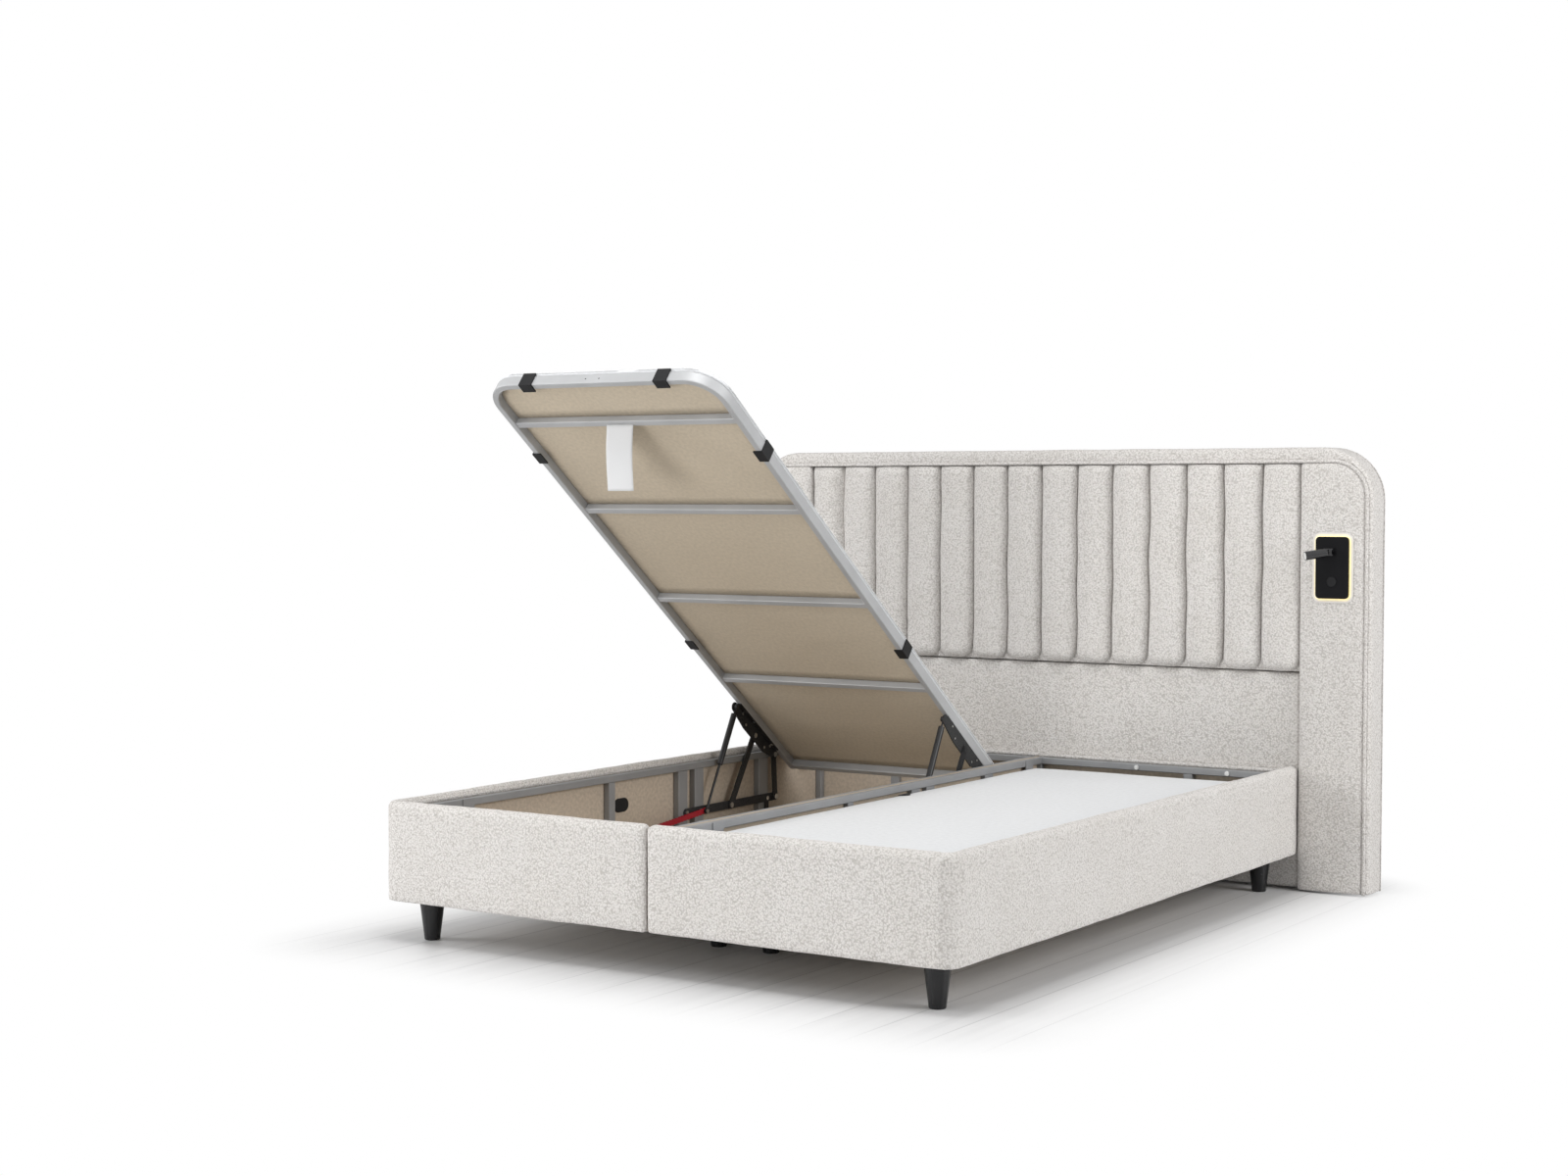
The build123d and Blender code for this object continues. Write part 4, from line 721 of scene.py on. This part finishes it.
class BED_OT_lid_pads(Operator):
    """Pad the lids with white cloth over thin foam"""

    bl_idname = "bed.lid_pads"
    bl_label = "Lid pads"

    def execute(self, context):
        sizes = context.scene.bed_sizes
        thickness, head_round, rim_round, rim = 0.015, 0.012, 0.006, 0.06
        for number, side in enumerate(SIDES):
            bm = flat_panel(LID_HALF, 0.0, LID_LENGTH, 0.018, LID_BEND, head_round)
            bmesh.ops.translate(bm, verts=bm.verts, vec=(0, 0, LID_PAD_UNDER + thickness))
            thicken(bm, thickness - 0.0004)
            round_rims(bm, rim_round, 3)
            for vert in bm.verts:
                if vert.co.z > LID_PAD_UNDER + thickness / 2:
                    across = 1 - min(1, (LID_HALF - abs(vert.co.x)) / rim)
                    along = 1 - min(1, min(vert.co.y, LID_LENGTH - vert.co.y) / rim)
                    edge = max(across, 0) ** 2 + max(along, 0) ** 2
                    vert.co.z -= sizes.pad_crown * min(1, edge)
                    wave = noise.noise(Vector((vert.co.x * 5, vert.co.y * 5, number))) - 0.6
                    vert.co.z += sizes.ripple * 0.5 * wave
            bm.normal_update()
            bm.transform(LID_PLACES[side])
            body = f"{side}_lid"
            to_pad(f"{body}_cushion", bm, body, [f"{body}_pad"], "Lid cloth")
        return {"FINISHED"}


class BED_OT_lid_tab(Operator):
    """Lay the black half-round tab on the closed lid's inner edge"""

    bl_idname = "bed.lid_tab"
    bl_label = "Lid tab"

    def execute(self, context):
        sizes = context.scene.bed_sizes
        bm = bmesh.new()
        bmesh.ops.create_circle(bm, cap_ends=True, radius=sizes.tab_radius, segments=32)
        bmesh.ops.bisect_plane(bm, geom=bm.verts[:] + bm.edges[:] + bm.faces[:], plane_co=(0, 0, 0),
                               plane_no=(-1, 0, 0), clear_outer=True)
        overlap, height, thickness = 0.003, 0.0453, 0.0018
        bmesh.ops.translate(bm, verts=bm.verts, vec=(-LID_HALF + overlap, sizes.tab_place, height))
        thicken(bm, thickness)
        round_rims(bm, 0.0005, 2)
        bm.transform(LID_PLACES["right"])
        to_piece("right_lid_tab", bm, "Black clip plastic", "right_lid", smooth=False)
        return {"FINISHED"}


class BED_OT_tube_holes(Operator):
    """Show the two screw holes in each lid's foot tube as painted shade: dark discs on the tube"""

    bl_idname = "bed.tube_holes"
    bl_label = "Tube holes"

    def execute(self, context):
        sizes = context.scene.bed_sizes
        height, depth, taper = 0.014, 0.0006, 0.8
        for side in SIDES:
            bm = bmesh.new()
            # Painted shade: each hole is a thin black cone on the tube's face, not an opening
            for x in (-0.024, 0.018):
                bmesh.ops.create_cone(bm, cap_ends=True, segments=16, radius1=sizes.hole_radius,
                                      radius2=sizes.hole_radius * taper, depth=depth,
                                      matrix=Matrix.Translation((x, -0.0001, height)) @ UPRIGHT)
            bm.transform(LID_PLACES[side])
            to_piece(f"{side}_tube_holes", bm, "Black clip plastic", f"{side}_lid",
                     smooth=False)
        return {"FINISHED"}


class BED_OT_lid_undersides(Operator):
    """Stretch beige cloth under the lid boards, bay by bay"""

    bl_idname = "bed.lid_undersides"
    bl_label = "Lid undersides"

    def execute(self, context):
        gap, thickness = 0.0003, 0.0005
        inner = LID_HALF - LID_TUBE_WIDE - BAY_GAP
        edges = [LID_TUBE_WIDE, *[y for tube in CROSS_TUBES for y in (tube, tube + CROSS_WIDE)],
                 LID_LENGTH - LID_HEAD_TUBE]
        for side in SIDES:
            whole = bmesh.new()
            for bay in range(0, len(edges), 2):
                low, high = edges[bay] + BAY_GAP, edges[bay + 1] - BAY_GAP
                corner = LID_BEND - LID_TUBE_WIDE if bay == 0 else 0.0
                bm = flat_panel(inner, low, high, 0.03, corner)
                bmesh.ops.translate(bm, verts=bm.verts, vec=(0, 0, LID_BOARD_UNDER - gap))
                thicken(bm, thickness)
                join_into(whole, bm)
            whole.transform(LID_PLACES[side])
            sheet = to_piece(f"{side}_lid_underside", whole, "Lid lining", f"{side}_lid")
        return {"FINISHED"}


class BED_OT_blank_label(Operator):
    """Hang the blank label from the left lid's first cross tube"""

    bl_idname = "bed.blank_label"
    bl_label = "Blank label"

    def execute(self, context):
        sizes = context.scene.bed_sizes
        bm = flat_panel(sizes.label_width / 2, -sizes.label_length, 0.0, 0.008)
        bend, twist = 0.004, 0.003
        for vert in bm.verts:
            down = -vert.co.y
            vert.co.z = bend * sin(down * 22)
            vert.co.z += twist * sin(vert.co.x * 40 + 1) * down / sizes.label_length
        thicken(bm, 0.0003)
        top = LID_PLACES["left"] @ Vector((-0.010, CROSS_TUBES[0] + CROSS_WIDE / 2, 0.003))
        place = Matrix.Translation(top + Vector((0, -0.0008, -0.002)))
        bm.transform(place @ UPRIGHT)
        label = to_piece("blank_label", bm, "Label paper", "left_lid")
        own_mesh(label)
        return {"FINISHED"}


class BED_OT_headboard_channels(Operator):
    """Sew and fill the headboard's upright channels"""

    bl_idname = "bed.headboard_channels"
    bl_label = "Headboard channels"

    def seam_shift(self, sizes, seam, rise):
        if seam in (0, sizes.channels):
            return 0.0
        return sizes.seam_sway * noise.noise(Vector((seam * 3.1, 0.5, rise * 4.5)))

    def execute(self, context):
        sizes = context.scene.bed_sizes
        low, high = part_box("headboard_channels")
        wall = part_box("headboard_lower_panel")[0].y
        pitch = (high.x - low.x) / sizes.channels
        seam, low_end, high_end, roundness, tuck = 0.0006, 0.030, 0.022, 0.58, 0.012
        half = pitch / 2 - seam
        radius = sizes.channel_round
        whole = bmesh.new()
        for number in range(sizes.channels):
            bm = bmesh.new()
            bmesh.ops.create_grid(bm, x_segments=14, y_segments=56, size=1.0)
            middle = low.x + pitch * (number + 0.5)
            for vert in bm.verts:
                across, rise = vert.co.x, (vert.co.y + 1) / 2
                from_low, from_high = rise * (high.z - low.z), (1 - rise) * (high.z - low.z)
                pull = 1.0
                if from_low < radius:
                    pull = 1 - (radius / half) * (1 - sqrt(max(0.0, 1 - (1 - from_low / radius) ** 2)))
                end = min(1.0, from_low / low_end, from_high / high_end)
                end = sqrt(max(0.0, 1 - (1 - end) ** 2))
                crown = max(0.0, 1 - across ** 2) ** roundness
                sway = self.seam_shift(sizes, number, rise) * (1 - across) / 2
                sway += self.seam_shift(sizes, number + 1, rise) * (1 + across) / 2
                vert.co = (middle + across * pull * half + sway, wall - sizes.channel_crown * crown * end,
                           low.z + from_low)
            bmesh.ops.recalc_face_normals(bm, faces=bm.faces)
            if bm.faces[0].normal.y > 0:
                bmesh.ops.reverse_faces(bm, faces=bm.faces)
            join_into(whole, bm)
        pins = [vert.index for vert in whole.verts if vert.is_boundary]
        whole = filled(whole, pins, sizes.channel_swell, pressure=3.0, slack=0.02)
        whole.normal_update()
        rims = [edge for edge in whole.edges if edge.is_boundary]
        for vert in new_verts(bmesh.ops.extrude_edge_only(whole, edges=rims)):
            vert.co.y = wall + tuck
        bmesh.ops.holes_fill(whole, edges=[edge for edge in whole.edges if edge.is_boundary], sides=0)
        bmesh.ops.recalc_face_normals(whole, faces=whole.faces)
        panel = to_piece("headboard_channel_panel", whole, "Boucle", "base")
        rounding = panel.modifiers.new("Subdivision", "SUBSURF")
        rounding.levels = rounding.render_levels = 1
        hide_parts("headboard_channels")

        bm = bmesh.new()
        bmesh.ops.create_cube(bm, size=1.0)
        gap, bevelled = 0.001, 0.004
        depth = high.y - wall - gap
        centre = ((low.x + high.x) / 2, wall + gap + depth / 2, (low.z + high.z) / 2)
        size = Matrix.Diagonal((high.x - low.x, depth, high.z - low.z - bevelled, 1))
        bm.transform(Matrix.Translation(centre) @ size)
        bevel(bm, bm.edges[:], bevelled, 3)
        backing = to_piece("headboard_channel_backing", bm, "Boucle", "base")
        return {"FINISHED"}


class BED_OT_headboard_pads(Operator):
    """Pad the headboard's wings, lower panel and rolled border"""

    bl_idname = "bed.headboard_pads"
    bl_label = "Headboard pads"

    def execute(self, context):
        sizes = context.scene.bed_sizes
        plate_low, plate_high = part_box("control_plates")
        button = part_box("right_button")
        plate_x = (button[0].x + button[1].x) / 2
        reach = plate_high.x - plate_x
        still, blend, bend, drawn = 0.015, 0.06, 0.0975, 0.07

        def off_plate(place):
            away = max(abs(abs(place.x) - plate_x) - reach, plate_low.z - place.z, place.z - plate_high.z)
            return min(1.0, max(0.0, (away - still) / blend))

        for side, sign in SIDES.items():
            node = f"headboard_{side}_wing"
            low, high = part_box(node)
            bm = evened_copy((node,), sizes.panel_voxel, 3)
            for vert in bm.verts:
                if vert.co.y < low.y + 0.01:
                    edge = min(vert.co.x - low.x, high.x - vert.co.x, high.z - vert.co.z)
                    corner = Vector((abs(vert.co.x) - (max(abs(low.x), abs(high.x)) - bend),
                                     vert.co.z - (high.z - bend)))
                    if corner.x > 0 and corner.y > 0:
                        edge = min(edge, bend - corner.length)
                    draw = max(0.0, 1 - max(0.0, edge) / drawn)
                    vert.co.y += sizes.wing_crown * draw ** 2
            ripple(bm, sizes.ripple * 0.7, 0.14, 5.3 * sign, off_plate)
            to_pad(f"headboard_{side}_wing_pad", bm, "base", [node])

        for node, name, voxel, passes, height, width, seed, give in (
                ("headboard_lower_panel", "headboard_lower_pad", 0.012, 2, 1.0, 0.22, 2.2, 0.9),
                ("headboard_border", "headboard_border_roll", sizes.panel_voxel, 4, 0.8, 0.12, 8.8, 0.95)):
            bm = evened_copy((node,), voxel, passes)
            ripple(bm, sizes.ripple * height, width, seed)
            to_pad(name, bm, "base", [node])

        bm = bmesh.new()
        bm.from_mesh(frame["nodes"]["headboard_back"].data)
        bmesh.ops.remove_doubles(bm, verts=bm.verts, dist=1e-5)
        round_rims(bm, 0.0015, 3)
        to_pad("headboard_back_cloth", bm, "base", ["headboard_back"], smooth=False)
        return {"FINISHED"}


class BED_OT_halos(Operator):
    """Paint the light that falls on the cloth round the control plates"""

    bl_idname = "bed.halos"
    bl_label = "Halos"

    def execute(self, context):
        sizes = context.scene.bed_sizes
        low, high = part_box("control_plates")
        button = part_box("right_button")
        middle_x, middle_z = (button[0].x + button[1].x) / 2, (low.z + high.z) / 2
        half_x, half_z = high.x - middle_x + sizes.halo, (high.z - low.z) / 2 + sizes.halo
        plate_round, thickness, behind = 0.012, 0.0006, 0.0012
        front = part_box("light_guides")[1].y - behind
        for side, sign in SIDES.items():
            bm = bmesh.new()
            bmesh.ops.create_grid(bm, x_segments=1, y_segments=1, size=1.0)
            bm.transform(Matrix.Diagonal((half_x, half_z, 1, 1)))
            bevel(bm, bm.verts[:], plate_round + sizes.halo, 8, "VERTICES")
            fade = bm.loops.layers.uv.new("Fade")
            middle = bm.faces[:]
            bmesh.ops.inset_region(bm, faces=middle, thickness=sizes.halo, use_even_offset=True,
                                   use_boundary=True)
            inner = {vert for face in middle for vert in face.verts}
            bmesh.ops.delete(bm, geom=middle, context="FACES_ONLY")
            for face in bm.faces:
                for loop in face.loops:
                    loop[fade].uv = (1.0 if loop.vert in inner else 0.0, 0.5)
            thicken(bm, thickness)
            bm.transform(Matrix.Translation((sign * middle_x, front, middle_z)) @ UPRIGHT)
            to_piece(f"{side}_halo", bm, "Halo", "base", smooth=False)
        return {"FINISHED"}


class BED_OT_headboard_welt(Operator):
    """Sew the welt between the headboard's front and its border"""

    bl_idname = "bed.headboard_welt"
    bl_label = "Headboard welt"

    def execute(self, context):
        sizes = context.scene.bed_sizes
        low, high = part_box("headboard_piping")
        bend = 0.100
        middle = (low.y + high.y) / 2
        bm = bmesh.new()
        bmesh.ops.create_circle(bm, cap_ends=False, radius=1.0, segments=10)
        inset = (high.y - low.y) / 2
        width, depth = sizes.welt_width / 2, inset + 0.0012
        start = Matrix.Translation((low.x + inset, middle, low.z))
        bm.transform(start @ Matrix.Diagonal((width, depth, 1, 1)))
        edges = bm.edges[:]
        top, side = high.z - inset, high.x - inset
        rise, reach = Vector((0, 0, top - bend - low.z)), Vector((2 * (side - bend), 0, 0))
        quarter = radians(90)
        for steps, move, centre in (
                (60, rise, None), (12, None, (-side + bend, middle, top - bend)), (100, reach, None),
                (12, None, (side - bend, middle, top - bend)), (60, -rise, None)):
            for _ in range(steps):
                made = bmesh.ops.extrude_edge_only(bm, edges=edges)
                verts = new_verts(made)
                edges = [item for item in made["geom"] if isinstance(item, bmesh.types.BMEdge)
                         and all(vert in verts for vert in item.verts)]
                if centre:
                    turn = Matrix.Rotation(quarter / steps, 3, "Y")
                    bmesh.ops.rotate(bm, cent=centre, verts=verts, matrix=turn)
                else:
                    bmesh.ops.translate(bm, verts=verts, vec=move / steps)
        bmesh.ops.holes_fill(bm, edges=[edge for edge in bm.edges if edge.is_boundary], sides=0)
        bmesh.ops.recalc_face_normals(bm, faces=bm.faces)
        ripple(bm, 0.0005, 0.018, 6.1)
        to_pad("headboard_welt", bm, "base", ["headboard_piping"])
        return {"FINISHED"}


class BED_OT_stage(Operator):
    """Set up the floor, the world, the lamps and the camera"""

    bl_idname = "bed.stage"
    bl_label = "Stage"

    def execute(self, context):
        scene = context.scene
        sizes, colours, light = scene.bed_sizes, scene.bed_colours, scene.bed_light
        bm = bmesh.new()
        bmesh.ops.create_grid(bm, x_segments=8, y_segments=8, size=40.0)
        floor = loose_object("floor", bm)
        floor_finish("Pale floor", sizes, colours.floor, light)
        floor.data.materials.append(bpy.data.materials["Pale floor"])

        world = bpy.data.worlds.new("Studio")
        world.use_nodes = True
        tree = world.node_tree
        path = add(tree, "LightPath").outputs
        mirrored = maths(tree, "MAXIMUM", path["Is Glossy Ray"], path["Is Transmission Ray"])
        seen = maths(tree, "MAXIMUM", path["Is Camera Ray"], mirrored)
        even = tree.nodes["Background"]
        even.inputs["Strength"].default_value = light.world
        even.inputs["Color"].default_value = (1, 1, 1, 1)
        white = add(tree, "Background", {"Color": (1, 1, 1, 1), "Strength": 1.0})
        mix = add(tree, "MixShader", {"Fac": seen, 1: even.outputs["Background"],
                                      2: white.outputs["Background"]})
        tree.links.new(mix.outputs["Shader"], tree.nodes["World Output"].inputs["Surface"])
        scene.world = world

        aim = Vector((0.1, 0.1, 0.5))
        for name, spot, wide, power in (
                ("key_lamp", (-5.2, -3.6, 2.5), 2.2, light.key),
                ("right_lamp", (5.2, 0.3, 2.2), 2.4, light.right),
                ("top_lamp", (0.3, -1.5, 3.8), 1.8, light.top),
                ("low_lamp", (-1.0, -5.4, 0.7), 2.0, light.low)):
            lamp = bpy.data.lights.new(name, "AREA")
            lamp.shape = "SQUARE"
            lamp.size = wide
            lamp.energy = power
            holder = bpy.data.objects.new(name, lamp)
            holder.location = spot
            holder.rotation_euler = (aim - Vector(spot)).to_track_quat("-Z", "Y").to_euler()
            scene.collection.objects.link(holder)

        camera = bpy.data.cameras.new("camera")
        camera.sensor_width = 36
        camera.lens = light.lens
        holder = bpy.data.objects.new("camera", camera)
        pitch, heading, roll = 87.861, 33.121, 0.106
        turn = Euler((radians(pitch), 0, radians(heading))).to_matrix()
        holder.rotation_euler = (turn @ Matrix.Rotation(radians(roll), 3, "Z")).to_euler()
        holder.location = (3.2674, -5.4777, 1.1162)
        scene.collection.objects.link(holder)
        scene.camera = holder
        scene.view_settings.view_transform = "Standard"
        return {"FINISHED"}


OPERATORS = (BED_OT_finishes, BED_OT_dress_frame, BED_OT_base_covers, BED_OT_wall_linings, BED_OT_rear_wraps,
             BED_OT_lid_pads, BED_OT_lid_tab, BED_OT_tube_holes, BED_OT_lid_undersides, BED_OT_blank_label,
             BED_OT_headboard_channels, BED_OT_headboard_pads, BED_OT_halos, BED_OT_headboard_welt,
             BED_OT_stage)


class BED_PT_panel(Panel):
    """The bed's dressing, step by step"""

    bl_label = "Storage bed"
    bl_idname = "BED_PT_panel"
    bl_space_type = "VIEW_3D"
    bl_region_type = "UI"
    bl_category = "Bed"

    def draw(self, context):
        scene = context.scene
        for group in (scene.bed_sizes, scene.bed_colours, scene.bed_light):
            column = self.layout.column(align=True)
            for name in group.__annotations__:
                column.prop(group, name)
        column = self.layout.column(align=True)
        for operator in OPERATORS:
            column.operator(operator.bl_idname)


CLASSES = (BedSizes, BedColours, BedLight, *OPERATORS, BED_PT_panel)


def register():
    for cls in CLASSES:
        bpy.utils.register_class(cls)
    Scene.bed_sizes = PointerProperty(type=BedSizes)
    Scene.bed_colours = PointerProperty(type=BedColours)
    Scene.bed_light = PointerProperty(type=BedLight)


def unregister():
    del Scene.bed_light, Scene.bed_colours, Scene.bed_sizes
    for cls in reversed(CLASSES):
        bpy.utils.unregister_class(cls)


def main():
    register()
    for operator in OPERATORS:
        group, name = operator.bl_idname.split(".")
        getattr(getattr(bpy.ops, group), name)()


if __name__ == "__main__":
    main()
